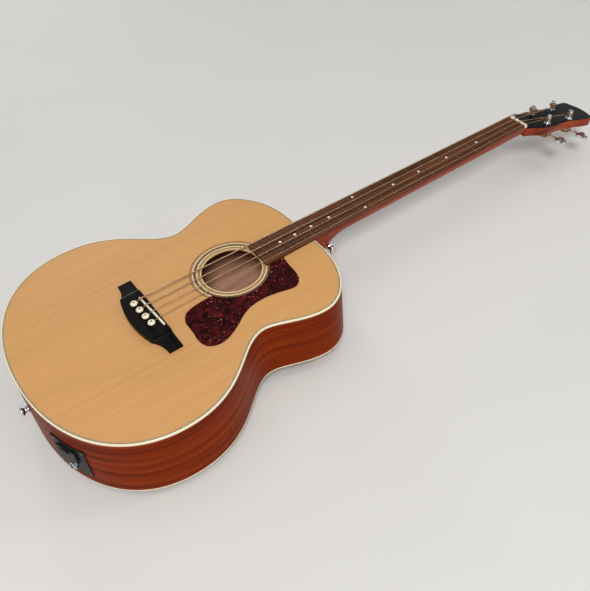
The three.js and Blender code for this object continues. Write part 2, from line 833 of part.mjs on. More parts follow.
// Strings: up out of the pin's slot, over the saddle and the nut, and wound up the post
function stringPath(i) {
  const radius = stringDiameters[i] / 2;
  const pin = pinPlaces[i];
  const slotX = pin.x + pinTopRadius + pinHoleClearance + seatGap + radius;
  const bend = new THREE.Vector3(slotX, pin.y, bridgeHeight - stringDip);
  const start = new THREE.Vector3(slotX, pin.y, bridgeHeight - stringTail);
  const nutY = ((stringCount - 1) / 2 - i) * stringSpacingAtNut;
  const nutPoint = new THREE.Vector3(nutThickness / 2, nutY, nutStringBottom + radius);
  const saddlePoint = new THREE.Vector3(saddleX(pin.y), pin.y, saddleTop + seatGap + radius);
  const behind = (saddleThickness / 2 + stringBendLength) / saddlePoint.distanceTo(nutPoint);
  const crest = saddlePoint.clone().lerp(nutPoint, -behind);
  const post = posts[i];
  const turnRadius = postRadius + seatGap + radius;
  const from = nutPoint.clone().applyMatrix4(bodyToHead);
  const reach = Math.hypot(post.x - from.x, post.y - from.y);
  const toPost = Math.atan2(post.y - from.y, post.x - from.x);
  const heading = toPost - post.side * Math.asin(turnRadius / reach);
  const startAngle = heading - post.side * (Math.PI / 2);
  const climb = stringDiameters[i] + windingGap;
  const winding = [];
  const steps = Math.round(windingTurns * windingStepsPerTurn);
  for (let k = 0; k <= steps; k += 1) {
    const turn = k / windingStepsPerTurn;
    const angle = startAngle + post.side * turn * 2 * Math.PI;
    const [x, y] = [post.x + turnRadius * Math.cos(angle), post.y + turnRadius * Math.sin(angle)];
    winding.push(new THREE.Vector3(x, y, windingStart + climb * turn));
  }
  const leave = winding[steps].clone().sub(winding[steps - 1]).normalize();
  const end = winding[steps].clone().addScaledVector(leave, 2 * stringDiameters[i]);
  const wound = [...winding, end].map((p) => p.applyMatrix4(headToBody));
  const tail = roundedPath([start, bend, crest.clone().lerp(bend, stringSlotShare)], stringBendLength);
  const slot = [start.clone().setZ(start.z - overrun), ...tail.slice(1)];
  const run = roundedPath([start, bend, crest, nutPoint, wound[0]], stringBendLength);
  return { radius, tail: slot, nutPoint, crest, run, wound, path: [...run.slice(0, -1), ...wound] };
}

const stringPaths = stringNames.map((_, i) => stringPath(i));

// Least gap between a winding's own turns, measured on its points
function leastGap({ wound, radius }) {
  const apart = Math.round(windingStepsPerTurn / 2);
  let least = Infinity;
  for (let a = 0; a < wound.length; a += 1) {
    for (let b = a + apart; b < wound.length; b += 1) {
      least = Math.min(least, wound[a].distanceTo(wound[b]) - 2 * radius);
    }
  }
  return least;
}

// Fingerboard: a tapered board with a cambered top and its frets seated in it
function boardRing(x, extra = 0) {
  const half = boardHalfWidth(x) + extra;
  const bottom = neckTop(x) + (x > jointX ? glueGap : 0);
  const points = [new THREE.Vector3(x, half, bottom)];
  for (let k = 0; k <= boardArcSteps; k += 1) {
    const y = half - (2 * half * k) / boardArcSteps;
    const camber = boardRadius - Math.sqrt(boardRadius ** 2 - y ** 2);
    points.push(new THREE.Vector3(x, y, boardTop(x) - camber));
  }
  points.push(new THREE.Vector3(x, -half, bottom));
  return points;
}

function boardFootprint(extra, z0, z1) {
  const shape = new THREE.Shape([
    new THREE.Vector2(0, -boardHalfWidth(0) - extra), new THREE.Vector2(0, boardHalfWidth(0) + extra),
    new THREE.Vector2(-boardLength, boardHalfWidth(-boardLength) + extra),
    new THREE.Vector2(-boardLength, -boardHalfWidth(-boardLength) - extra),
  ]);
  return extrude(shape, z0, z1 - z0);
}

function fret(n) {
  const x = -fretDistance(n);
  const half = boardHalfWidth(x) - fretInset;
  const rings = [];
  for (let k = 0; k <= boardArcSteps; k += 1) {
    const y = half - (2 * half * k) / boardArcSteps;
    const base = boardTop(x) - (boardRadius - Math.sqrt(boardRadius ** 2 - y ** 2));
    const section = [
      [-fretWidth / 2, -fretSink], [-fretCrownWidth / 2, fretHeight],
      [fretCrownWidth / 2, fretHeight], [fretWidth / 2, -fretSink],
    ];
    rings.push(section.map(([dx, dz]) => new THREE.Vector3(x + dx, y, base + dz)));
  }
  return loft(rings);
}

function fingerboard() {
  const stations = [-glueGap, jointX + glueGap, jointX - glueGap, -boardLength];
  const board = loft(stations.map((x) => boardRing(x)));
  const frets = Array.from({ length: fretCount }, (_, i) => fret(i + 1));
  return join(board, ...frets);
}

function nut() {
  const half = boardHalfWidth(0);
  const bottom = neckTop(0) + glueGap;
  const top = nutStringBottom + nutRise;
  const blank = box(0, nutThickness, -half, half, bottom, top);
  const slots = stringPaths.map(({ nutPoint, crest, radius, wound }) => {
    const ahead = nutPoint.clone().sub(crest).setLength(nutThickness).negate().add(nutPoint);
    const beyond = wound[0].clone().sub(nutPoint).setLength(nutThickness).add(nutPoint);
    return tube(roundedPath([ahead, nutPoint, beyond], stringBendLength), radius + seatGap);
  });
  return cut(blank, ...slots);
}

// Neck: a shaft of C section that swells into the heel and runs under the headstock
function neckRing(x, top, depth, half, pinch) {
  const points = [];
  for (let k = 0; k <= neckArcSteps; k += 1) {
    const angle = (k / neckArcSteps) * Math.PI;
    const c = Math.cos(angle);
    const s = Math.sin(angle);
    const roundness = neckRoundness + (heelRoundness - neckRoundness) * pinch;
    const width = half * Math.sign(c) * Math.abs(c) ** roundness * (1 - pinch * s ** 2);
    points.push(new THREE.Vector3(x, width, top - depth * s ** neckRoundness));
  }
  return points;
}

function heelShare(x) {
  const start = jointX + heelLength;
  const end = jointX + heelCapLength;
  return Math.min(Math.max((start - x) / (start - end), 0), 1);
}

function neckSection(x) {
  const share = heelShare(x);
  const swell = 1 - Math.sqrt(1 - share ** 2);
  const along = -x / (-jointX - heelLength);
  const shaft = neckDepthAtNut + (neckDepthAtHeel - neckDepthAtNut) * Math.min(Math.max(along, 0), 1);
  const top = neckTop(x);
  const depth = shaft + (heelDepth + top - shaft) * swell;
  const half = boardHalfWidth(Math.min(x, 0)) - glueGap;
  return neckRing(x, top, depth, half, heelPinch * share);
}

function neckShaft() {
  const rings = [];
  const headRun = headstockThickness * 2;
  const headTop = neckTop(nutThickness) - headstockStep - faceThickness;
  const underside = neckTop(0) - neckDepthAtNut;
  for (const x of [headRun, headRun / 2, nutThickness + glueGap]) {
    const top = headTop - glueGap - headstockSlope * (x - nutThickness);
    rings.push(neckRing(x, top, top - underside, boardHalfWidth(0) - glueGap, 0));
  }
  rings.push(neckRing(nutThickness, neckTop(nutThickness), neckDepthAtNut, boardHalfWidth(0) - glueGap, 0));
  const heelStart = jointX + heelLength;
  for (let k = 0; k < neckSteps; k += 1) rings.push(neckSection((heelStart * k) / neckSteps));
  for (let k = 0; k <= heelSteps; k += 1) {
    const share = Math.sin((k / heelSteps) * (Math.PI / 2));
    rings.push(neckSection(heelStart - (heelLength - heelCapLength) * share));
  }
  rings.push(neckSection(jointX + glueGap));
  return loft(rings);
}

function headstockShape() {
  const shape = new THREE.Shape();
  const flare = headstockFlareWidth / 2;
  const scoop = headstockScoopWidth / 2;
  const top = headstockTopWidth / 2;
  const start = boardWidthAtNut / 2;
  const [flareX, scoopX, topX] = [headstockFlareFromNut, headstockScoopFromNut, headstockTopFromNut];
  const [nutBend, flareBendIn] = nutCurveShares.map((share) => flareX * share);
  const [flareBendOut, scoopBendIn] = [flareX * flareCurveShares[0], scoopX * flareCurveShares[1]];
  const [scoopBendOut, topBendIn] = [scoopX * scoopCurveShares[0], topX * scoopCurveShares[1]];
  const crownX = topX + headstockCrown;
  const [cornerY, crestY] = crownShares.map((share) => top * share);
  shape.moveTo(0, -start);
  shape.bezierCurveTo(nutBend, -start, flareBendIn, -flare, flareX, -flare);
  shape.bezierCurveTo(flareBendOut, -flare, scoopBendIn, -scoop, scoopX, -scoop);
  shape.bezierCurveTo(scoopBendOut, -scoop, topBendIn, -top, topX, -top);
  shape.quadraticCurveTo(crownX, -top, crownX, -cornerY);
  shape.quadraticCurveTo(headstockLength, -crestY, headstockLength, 0);
  shape.quadraticCurveTo(headstockLength, crestY, crownX, cornerY);
  shape.quadraticCurveTo(crownX, top, topX, top);
  shape.bezierCurveTo(topBendIn, top, scoopBendOut, scoop, scoopX, scoop);
  shape.bezierCurveTo(scoopBendIn, scoop, flareBendOut, flare, flareX, flare);
  shape.bezierCurveTo(flareBendIn, flare, nutBend, start, 0, start);
  return shape;
}

function headstockSlab() {
  const top = -faceThickness - glueGap;
  const bottom = -headstockThickness;
  const slab = extrude(headstockShape(), bottom, top - bottom);
  const holes = posts.map(({ x, y }) => cylinder(bushingRadius + glueGap * 2, bottom - overrun, overrun)
    .translate(x, y, 0));
  return cut(slab, ...holes).applyMatrix4(headToBody);
}

function neck() {
  const tenon = box(
    jointX - tenonLength, jointX + overrun, -tenonWidth / 2, tenonWidth / 2, -tenonBottom, -tenonTop,
  );
  const channel = trussRodBar(rodChannelWidth, 0, overrun);
  const shank = buttonShank(seatGap / 2).applyMatrix4(strapButtonMatrix());
  return cut(join(neckShaft(), headstockSlab(), tenon), channel, shank);
}

// Truss rod: a square bar in a channel under the fingerboard, which follows the neck's top
function trussRodBar(width, clearance, rise) {
  const ring = (x) => {
    const top = neckTop(x) + rise;
    const bottom = neckTop(x) - rodChannelDepth + (rise > 0 ? 0 : glueGap);
    return [
      new THREE.Vector3(x, width / 2, top), new THREE.Vector3(x, -width / 2, top),
      new THREE.Vector3(x, -width / 2, bottom), new THREE.Vector3(x, width / 2, bottom),
    ];
  };
  return loft([ring(-rodEndMargin - clearance), ring(jointX + rodEndMargin + clearance)]);
}

function headstockFace() {
  const face = extrude(headstockShape(), -faceThickness, faceThickness);
  const holes = posts.map(({ x, y }) => cylinder(bushingRadius + glueGap * 2, -overrun * 2, overrun)
    .translate(x, y, 0));
  const begin = seatGap + faceThickness * headstockSlope;
  const start = box(-overrun, begin, -boardWidthAtNut, boardWidthAtNut, -faceThickness - overrun, overrun);
  return cut(face, start, ...holes);
}

// Machine heads: levels below the headstock's back, then each piece in its post's own frame
const plateTop = -headstockThickness - seatGap;
const plateBottom = plateTop - plateThickness;
const wormTipRadius = wormPitchRadius + toothAddendum;
const shaftRadius = wormPitchRadius - toothDedendum;
const wormHeight = plateBottom - wormTipRadius - seatGap;
const gearTop = wormHeight + gearThickness / 2;
const gearBottom = wormHeight - gearThickness / 2;
const wormX = gearRadius + wormPitchRadius;
const gearTipRadius = gearRadius + toothAddendum;
const earFace = Math.sqrt(gearTipRadius ** 2 - (wormX - earRadius) ** 2) + wormEarGap;
const leadAngle = Math.atan(circularPitch / (2 * Math.PI * wormPitchRadius));

// Gear: straight-flanked teeth, skewed through the thickness to suit the worm's lead
function gear() {
  const pitchAngle = (2 * Math.PI) / gearTeeth;
  const root = gearRadius - toothDedendum;
  const toothAngle = toothWidth / gearRadius;
  const slope = (toothAngle * (1 - toothTipShare)) / 2;
  const shape = new THREE.Shape();
  for (let i = 0; i < gearTeeth; i += 1) {
    const centre = i * pitchAngle;
    const corners = [
      [root, -toothAngle / 2 - slope], [gearTipRadius, -toothAngle / 2 + slope],
      [gearTipRadius, toothAngle / 2 - slope], [root, toothAngle / 2 + slope],
    ];
    for (const [radius, angle] of corners) {
      const x = radius * Math.cos(centre + angle);
      const y = radius * Math.sin(centre + angle);
      if (i === 0 && radius === root && angle < 0) shape.moveTo(x, y);
      else shape.lineTo(x, y);
    }
  }
  const bore = new THREE.Path();
  bore.absarc(0, 0, postStubRadius + seatGap, 0, 2 * Math.PI, true);
  shape.holes.push(bore);
  const geometry = extrude(shape, -gearThickness / 2, gearThickness, boreSteps);
  const position = geometry.attributes.position;
  for (let i = 0; i < position.count; i += 1) {
    const z = position.getZ(i);
    const turn = (z * Math.tan(leadAngle)) / gearRadius;
    const x = position.getX(i);
    const y = position.getY(i);
    position.setXY(i, x * Math.cos(turn) - y * Math.sin(turn), x * Math.sin(turn) + y * Math.cos(turn));
  }
  return geometry.translate(0, 0, wormHeight);
}

// Worm thread: a ridge wound round the shaft, with the gear's gap facing the post at y = 0
function wormThread() {
  const rings = [];
  const steps = threadTurns * wormStepsPerTurn;
  const base = (wormThreadWidth / 2) * (1 + (1 - toothTipShare));
  const tip = (wormThreadWidth / 2) * toothTipShare;
  const sunk = shaftRadius - seatGap;
  for (let k = 0; k <= steps; k += 1) {
    const turn = k / wormStepsPerTurn - threadTurns / 2;
    const angle = turn * 2 * Math.PI + Math.PI / 2;
    const y = turn * circularPitch;
    const section = [[sunk, -base], [wormTipRadius, -tip], [wormTipRadius, tip], [sunk, base]];
    rings.push(section.map(([radius, along]) => (
      new THREE.Vector3(radius * Math.sin(angle), y + along, radius * Math.cos(angle))
    )));
  }
  return loft(rings);
}

// Key: worm, shaft, stem and a button with three round leaves, all on one axis along Y
function key(side) {
  const shaftStart = -earFace - earThickness - seatGap;
  const stemStart = earFace + earThickness + seatGap;
  const stemEnd = stemStart + keyStemLength;
  const axle = turned([
    [0, shaftStart], [shaftRadius, shaftStart], [shaftRadius, stemStart], [keyCollarRadius, stemStart],
    [keyCollarRadius, stemStart + keyCollarLength], [shaftRadius, stemStart + 2 * keyCollarLength],
    [shaftRadius, stemEnd + keyCollarLength], [0, stemEnd + keyCollarLength],
  ], shaftSides).rotateX(-Math.PI / 2);
  const leaf = new THREE.Shape(Array.from({ length: keyLeafSteps }, (_, k) => {
    const angle = (k / keyLeafSteps) * 2 * Math.PI;
    const radius = keyLeafRadius + keyLeafSwell * Math.cos(keyLeafCount * angle);
    return new THREE.Vector2(radius * Math.sin(angle), radius * Math.cos(angle));
  }));
  const leafEdge = keyLeafThickness - 2 * keyLeafBevel;
  const button = new THREE.ExtrudeGeometry(leaf, {
    depth: leafEdge,
    bevelThickness: keyLeafBevel,
    bevelSize: keyLeafBevel,
    bevelOffset: -keyLeafBevel,
    bevelSegments: 1,
  });
  button.translate(0, stemEnd + keyLeafRadius - keyLeafSwell, -leafEdge / 2);
  const outwards = join(axle, button);
  if (side < 0) outwards.rotateZ(Math.PI);
  return join(outwards, wormThread()).translate(wormX, 0, wormHeight);
}

// Base plate: a flat plate with the post's hole and two ears that carry the key's shaft
function tunerPlate() {
  const outline = new THREE.Shape();
  const corner = plateHalfWidth * plateCornerShare;
  outline.moveTo(corner - plateReachBack, -plateHalfWidth);
  outline.lineTo(plateReachFront - corner, -plateHalfWidth);
  outline.quadraticCurveTo(plateReachFront, -plateHalfWidth, plateReachFront, corner - plateHalfWidth);
  outline.lineTo(plateReachFront, plateHalfWidth - corner);
  outline.quadraticCurveTo(plateReachFront, plateHalfWidth, plateReachFront - corner, plateHalfWidth);
  outline.lineTo(corner - plateReachBack, plateHalfWidth);
  outline.quadraticCurveTo(-plateReachBack, plateHalfWidth, -plateReachBack, plateHalfWidth - corner);
  outline.lineTo(-plateReachBack, corner - plateHalfWidth);
  outline.quadraticCurveTo(-plateReachBack, -plateHalfWidth, corner - plateReachBack, -plateHalfWidth);
  const sheet = extrude(outline, plateBottom, plateThickness, plateSteps);
  const ear = new THREE.Shape();
  const rise = plateTop - glueGap - wormHeight;
  ear.moveTo(-earRadius, rise);
  ear.lineTo(-earRadius, 0);
  ear.absarc(0, 0, earRadius, Math.PI, 2 * Math.PI, false);
  ear.lineTo(earRadius, rise);
  const bearing = new THREE.Path();
  bearing.absarc(0, 0, shaftRadius + bearingClearance, 0, 2 * Math.PI, true);
  ear.holes.push(bearing);
  const ears = [-earFace - earThickness, earFace].map((y) => {
    const lug = extrude(ear, 0, earThickness, earSteps);
    return lug.rotateX(Math.PI / 2).translate(wormX, y + earThickness, wormHeight);
  });
  const postHole = cylinder(postRadius + bearingClearance, plateBottom - overrun, plateTop + overrun);
  return cut(join(sheet, ...ears), postHole);
}

// Post: a stub for the gear with its screw, a shoulder, the barrel in the bushing and a waisted top
function stringPost() {
  const barrel = turned([
    [0, gearBottom - seatGap - postScrewHeight], [postScrewRadius, gearBottom - seatGap - postScrewHeight],
    [postScrewRadius, gearBottom - seatGap], [postStubRadius, gearBottom - seatGap],
    [postStubRadius, gearTop + seatGap], [postRadius, gearTop + seatGap],
    [postRadius, postHoleHeight + postHoleRadius], [postTopRadius, postHeight - postHoleRadius],
    [postTopRadius * postCrownShare, postHeight], [0, postHeight],
  ]);
  const hole = cylinder(postHoleRadius, -postTopRadius - overrun, postTopRadius + overrun, 6);
  return cut(barrel, hole.rotateY(Math.PI / 2).translate(0, 0, postHoleHeight));
}

// Bushing: a sleeve pressed in from the face, with a flange and a collar round the post
function bushing() {
  const bore = postRadius + bearingClearance;
  const collar = (bushingRadius + bore) / 2 + glueGap;
  return turned([
    [bore, -bushingDepth], [bushingRadius, -bushingDepth], [bushingRadius, seatGap],
    [bushingFlangeRadius, seatGap], [bushingFlangeRadius, seatGap + bushingFlangeHeight],
    [collar, bushingCollarHeight], [bore, bushingCollarHeight], [bore, -bushingDepth],
  ]);
}

// Strap button and end pin: one turned button with its screw shank
function buttonShank(clearance) {
  return cylinder(buttonShankRadius + clearance, -buttonShankLength - clearance, overrun);
}

function strapButton() {
  return turned([
    [0, -buttonShankLength], [buttonShankRadius, -buttonShankLength], [buttonShankRadius, 0],
    [buttonBaseRadius, 0], [buttonBaseRadius, buttonBaseThickness],
    [buttonWaistRadius, buttonLength * buttonWaistShare],
    [buttonFlangeRadius, buttonLength - buttonFlangeThickness], [buttonFlangeRadius, buttonLength - glueGap],
    [buttonFlangeRadius * buttonCrownShare, buttonLength], [0, buttonLength],
  ]);
}

function strapButtonMatrix() {
  const x = jointX + strapButtonFromBody;
  const ring = neckSection(x);
  const z = -strapButtonDepth;
  const at = ring.findIndex((p, k) => k > neckArcSteps / 2 && p.z > z && p.y < 0);
  const [low, high] = [ring[at - 1], ring[at]];
  const share = (z - low.z) / (high.z - low.z);
  const surface = low.y + (high.y - low.y) * share;
  const widest = Math.min(surface, high.y);
  return new THREE.Matrix4().makeRotationX(Math.PI / 2).setPosition(x, widest - seatGap, z);
}

function endPinMatrix() {
  return new THREE.Matrix4().makeRotationY(-Math.PI / 2).setPosition(tailX - seatGap, 0, -endPinDepth);
}

function endPinHole() {
  return buttonShank(seatGap / 2).applyMatrix4(endPinMatrix());
}

// Jack housing frame: its origin is on the treble side's skin, with its own +X pointing outwards
function housingFrame() {
  const at = samples.findIndex((s, k) => {
    const next = samples[(k + 1) % samples.length];
    return s.y < -housingFromCentre && next.y >= -housingFromCentre && s.x < lowerBoutX;
  });
  const [a, b] = [samples[at], samples[(at + 1) % samples.length]];
  const share = (-housingFromCentre - a.y) / (b.y - a.y);
  const x = a.x + (b.x - a.x) * share;
  const angle = Math.atan2(a.ny + (b.ny - a.ny) * share, a.nx + (b.nx - a.nx) * share);
  return { x, y: -housingFromCentre, angle };
}

const housingPlace = housingFrame();
const housing = new THREE.Group();
housing.position.set(housingPlace.x, housingPlace.y, -housingDepth);
housing.rotation.z = housingPlace.angle;
housing.updateMatrixWorld(true);
const housingMatrix = housing.matrix.clone();

const trayWidth = batteryWidth + 2 * (trayWall + seatGap);
const trayHeight = batteryHeight + trayWall + seatGap;
const trayLength = batteryLength + trayWall + 3 * seatGap;
const pocketHalf = trayWidth / 2 + seatGap;
const pocketBottom = drawerRise - trayHeight / 2 - seatGap;
const pocketTop = drawerRise + trayHeight / 2 + seatGap;
const pocketEnd = -trayLength - 2 * seatGap;

// The side's skin as seen from the housing: how far out it lies at a distance across the housing
const bodyToHousing = housingMatrix.clone().invert();
const skinPoints = samples.map((s) => new THREE.Vector3(s.x, s.y, -housingDepth).applyMatrix4(bodyToHousing));

function skinAt(across) {
  const farthest = (tailX - lowerBoutX) / 2;
  for (let i = 0; i < skinPoints.length; i += 1) {
    const [a, b] = [skinPoints[i], skinPoints[(i + 1) % skinPoints.length]];
    const inFront = a.x > farthest && b.x > farthest;
    if (inFront && (a.y - across) * (b.y - across) <= 0 && a.y !== b.y) {
      return a.x + ((b.x - a.x) * (across - a.y)) / (b.y - a.y);
    }
  }
  return 0;
}

function housingShell() {
  const half = housingWidth / 2;
  const between = skinPoints.filter((p) => Math.abs(p.y) < half && p.x > -housingWidth).map((p) => p.y);
  const stops = [-half, ...between, half].sort((a, b) => a - b);
  const inner = stops.map((y) => new THREE.Vector2(skinAt(y) + seatGap, y));
  const outer = inner.map(({ x, y }) => new THREE.Vector2(x + flangeThickness, y)).reverse();
  const flange = extrude(new THREE.Shape([...inner, ...outer]), -housingHeight / 2, housingHeight);
  const shell = box(
    pocketEnd - housingWall, seatGap + glueGap, -pocketHalf - housingWall, pocketHalf + housingWall,
    pocketBottom - housingWall, pocketTop + housingWall,
  );
  const pocket = box(pocketEnd, half, -pocketHalf, pocketHalf, pocketBottom, pocketTop);
  const level = faceLevel();
  const trim = box(level, half, -half, half, -housingHeight, housingHeight);
  const jackHole = cylinder(jackBarrelRadius + seatGap, -half, half);
  jackHole.rotateY(Math.PI / 2).translate(0, 0, -jackDrop);
  return cut(join(flange, shell), pocket, jackHole, trim);
}

// Outer face of the housing's middle, which is cut flat for the drawer and the jack
const faceLevel = () => skinAt(0) + seatGap + flangeThickness - glueGap * 2;

function batteryDrawer() {
  const inner = batteryWidth / 2 + seatGap;
  const face = faceLevel() + seatGap;
  const bottom = drawerRise - trayHeight / 2;
  const tray = box(-trayLength, face + glueGap, -trayWidth / 2, trayWidth / 2, bottom, bottom + trayHeight);
  const hollow = box(
    -trayLength + trayWall, -seatGap, -inner, inner, bottom + trayWall, bottom + trayHeight + overrun,
  );
  const plate = box(
    face, face + drawerFaceThickness, -trayWidth / 2 - drawerFaceMargin, trayWidth / 2 + drawerFaceMargin,
    bottom - drawerFaceMargin, bottom + trayHeight + drawerFaceMargin,
  );
  const lip = box(
    face + drawerFaceThickness - glueGap, face + drawerFaceThickness + drawerLipDepth,
    -trayWidth / 4, trayWidth / 4, bottom + trayHeight - drawerLipHeight / 2,
    bottom + trayHeight + drawerLipHeight / 2,
  );
  return cut(join(tray, plate, lip), hollow);
}

function battery() {
  const bottom = drawerRise - trayHeight / 2 + trayWall + seatGap;
  const start = -trayLength + trayWall + seatGap;
  const half = batteryWidth / 2;
  return box(start, start + batteryLength, -half, half, bottom, bottom + batteryHeight);
}

function outputJack() {
  const face = faceLevel() + seatGap;
  const insideFace = skinAt(0) - seatGap;
  const jackEnd = insideFace - jackBodyLength;
  return turned([
    [jackBoreRadius, jackEnd + jackEndWall], [jackBoreRadius, face + jackBarrelLength],
    [jackBarrelRadius, face + jackBarrelLength], [jackBarrelRadius, face + jackNutThickness],
    [jackNutRadius, face + jackNutThickness], [jackNutRadius, face], [jackBarrelRadius, face],
    [jackBarrelRadius, insideFace], [jackBodyRadius, insideFace], [jackBodyRadius, jackEnd],
    [0, jackEnd], [0, jackEnd + jackEndWall], [jackBoreRadius, jackEnd + jackEndWall],
  ]).rotateY(Math.PI / 2).translate(0, 0, -jackDrop);
}

function sideOpening() {
  const half = sideOpeningWidth / 2;
  return box(
    -housingWidth / 2, housingWidth / 2, -half, half, -sideOpeningHeight / 2, sideOpeningHeight / 2,
  ).applyMatrix4(housingMatrix);
}

// Control pod frame: its origin is at the soundhole's centre, with its own +X towards the pod
const pod = new THREE.Group();
pod.position.set(holeX, 0, 0);
pod.rotation.z = podAngle;
const podStart = holeRadius + podFromHoleEdge;
const wheelTop = -topThickness - wheelDrop;
const wheelFromHole = holeRadius - wheelReach + wheelRadius;
const wheelPlaces = [-wheelSpacing / 2, wheelSpacing / 2];

function controlPod() {
  const half = podSpan / 2;
  const blank = box(podStart, podStart + podDepth, -half, half, -topThickness - podHeight, -topThickness);
  const slots = wheelPlaces.map((y) => cylinder(
    wheelRadius + 2 * seatGap, wheelTop - wheelThickness - seatGap, wheelTop + seatGap, wheelKnurls,
  ).translate(wheelFromHole, y, 0));
  const spindles = wheelPlaces.map((y) => cylinder(
    spindleRadius, wheelTop - wheelThickness - 2 * seatGap, wheelTop + 2 * seatGap, shaftSides,
  ).translate(wheelFromHole, y, 0));
  return join(cut(blank, ...slots), ...spindles);
}

function thumbWheel() {
  const shape = new THREE.Shape();
  for (let k = 0; k < wheelKnurls * 2; k += 1) {
    const angle = (k / (wheelKnurls * 2)) * 2 * Math.PI;
    const radius = wheelRadius - (k % 2) * wheelKnurlDepth;
    const point = [radius * Math.cos(angle), radius * Math.sin(angle)];
    if (k === 0) shape.moveTo(...point);
    else shape.lineTo(...point);
  }
  const bore = new THREE.Path();
  bore.absarc(0, 0, spindleRadius + spindleClearance, 0, 2 * Math.PI, true);
  shape.holes.push(bore);
  return extrude(shape, wheelTop - wheelThickness, wheelThickness, boreSteps);
}

// Body box
add('soundboard', soundboard(), spruce);
add('rosette', rosette(), cream);
add('back', back(), mahogany);
add('side_bass', side(bassSamples, 1), mahogany);
add('side_treble', cut(side(trebleSamples, -1), sideOpening()), mahogany);
add('top_binding', rim(bindingSection(() => -bindingHeight, bindingHeight)), cream);
add('back_binding', rim(bindingSection((s) => -sideDepth(s.x), bindingHeight)), cream);
add('top_lining', rim(liningSection(topLiningEdge, -1)), innerSpruce);
add('back_lining', rim(liningSection(backLiningEdge, 1)), innerSpruce);
const mortise = box(
  jointX - tenonLength - seatGap, jointX, -tenonWidth / 2 - seatGap, tenonWidth / 2 + seatGap,
  -tenonBottom - seatGap, -tenonTop + seatGap,
);
add('neck_block', block(jointX - neckBlockLength, jointX, neckBlockWidth, mortise), innerWood);
add('tail_block', block(tailX, tailX + tailBlockLength, tailBlockWidth, endPinHole()), innerWood);
const braceSpans = [braceAngle, -braceAngle];
const longBraces = braceSpans.map((angle) => (
  brace(braceWidth, braceHeight, braceLength, angle, braceCrossX)
));
const lowerHalving = braceHalving(-braceAngle, -braceHeight - overrun, -braceHeight / 2 + seatGap);
const upperHalving = braceHalving(braceAngle, -braceHeight / 2, overrun);
add('x_brace_treble', cut(longBraces[0], lowerHalving), innerSpruce);
add('x_brace_bass', cut(longBraces[1], upperHalving), innerSpruce);
add('transverse_brace', brace(
  transverseBraceWidth, transverseBraceHeight, upperBoutWidth, Math.PI / 2,
  jointX + (holeX - jointX) * transverseBraceShare,
), innerSpruce);
add('bridge_plate', bridgePlate(), innerWood);
add('pickguard', pickguard(), tortoise);

// Bridge
add('bridge', bridge(), ebony);
add('saddle', saddleStrip(0, saddleSlotBottom + glueGap, saddleTop), bone);
stringNames.forEach((name, i) => {
  add(`bridge_pin_${name}`, bridgePin(), cream).position.copy(pinPlaces[i]);
});

// Neck
add('neck', neck(), mahogany);
add('truss_rod', trussRodBar(rodDiameter, seatGap, -glueGap), steel);
add('fingerboard', fingerboard(), rosewood);
add('nut', nut(), bone);

// Strings
stringNames.forEach((name, i) => {
  const string = stringPaths[i];
  add(`string_${name}`, tube(string.path, string.radius), bronze);
  console.log(`string_${name}: least gap between turns ${leastGap(string).toFixed(2)} mm`);
});

// Headstock face and machine heads
add('headstock_face', headstockFace(), blackGloss, headstock);
stringNames.forEach((name, i) => {
  const head = new THREE.Group();
  head.position.set(posts[i].x, posts[i].y, 0);
  add(`tuner_plate_${name}`, tunerPlate(), chrome, head);
  add(`tuner_key_${name}`, key(posts[i].side), chrome, head);
  add(`tuner_gear_${name}`, gear(), brass, head);
  add(`string_post_${name}`, stringPost(), chrome, head);
  add(`post_bushing_${name}`, bushing(), chrome, head);
  headstock.add(head);
});
meshes.add(headstock);

// Fittings
add('strap_button', strapButton().applyMatrix4(strapButtonMatrix()), chrome);
add('end_pin', strapButton().applyMatrix4(endPinMatrix()), chrome);
add('jack_housing', housingShell(), blackPlastic, housing);
add('battery_drawer', batteryDrawer(), blackPlastic, housing);
add('battery', battery(), batterySteel, housing);
add('output_jack', outputJack(), chrome, housing);
meshes.add(housing);
add('control_pod', controlPod(), blackPlastic, pod);
['tone_wheel', 'volume_wheel'].forEach((name, i) => {
  add(name, thumbWheel(), blackPlastic, pod).position.set(wheelFromHole, wheelPlaces[i], 0);
});
meshes.add(pod);

// The whole guitar is set down on its back, with the middle of its lowest face at the origin
const guitar = new THREE.Group();
guitar.add(meshes);
guitar.updateMatrixWorld(true);
const bounds = new THREE.Box3().setFromObject(guitar, true);
const middle = bounds.getCenter(new THREE.Vector3());
meshes.position.set(-middle.x, -middle.y, -bounds.min.z);

export default guitar;
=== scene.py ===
import math

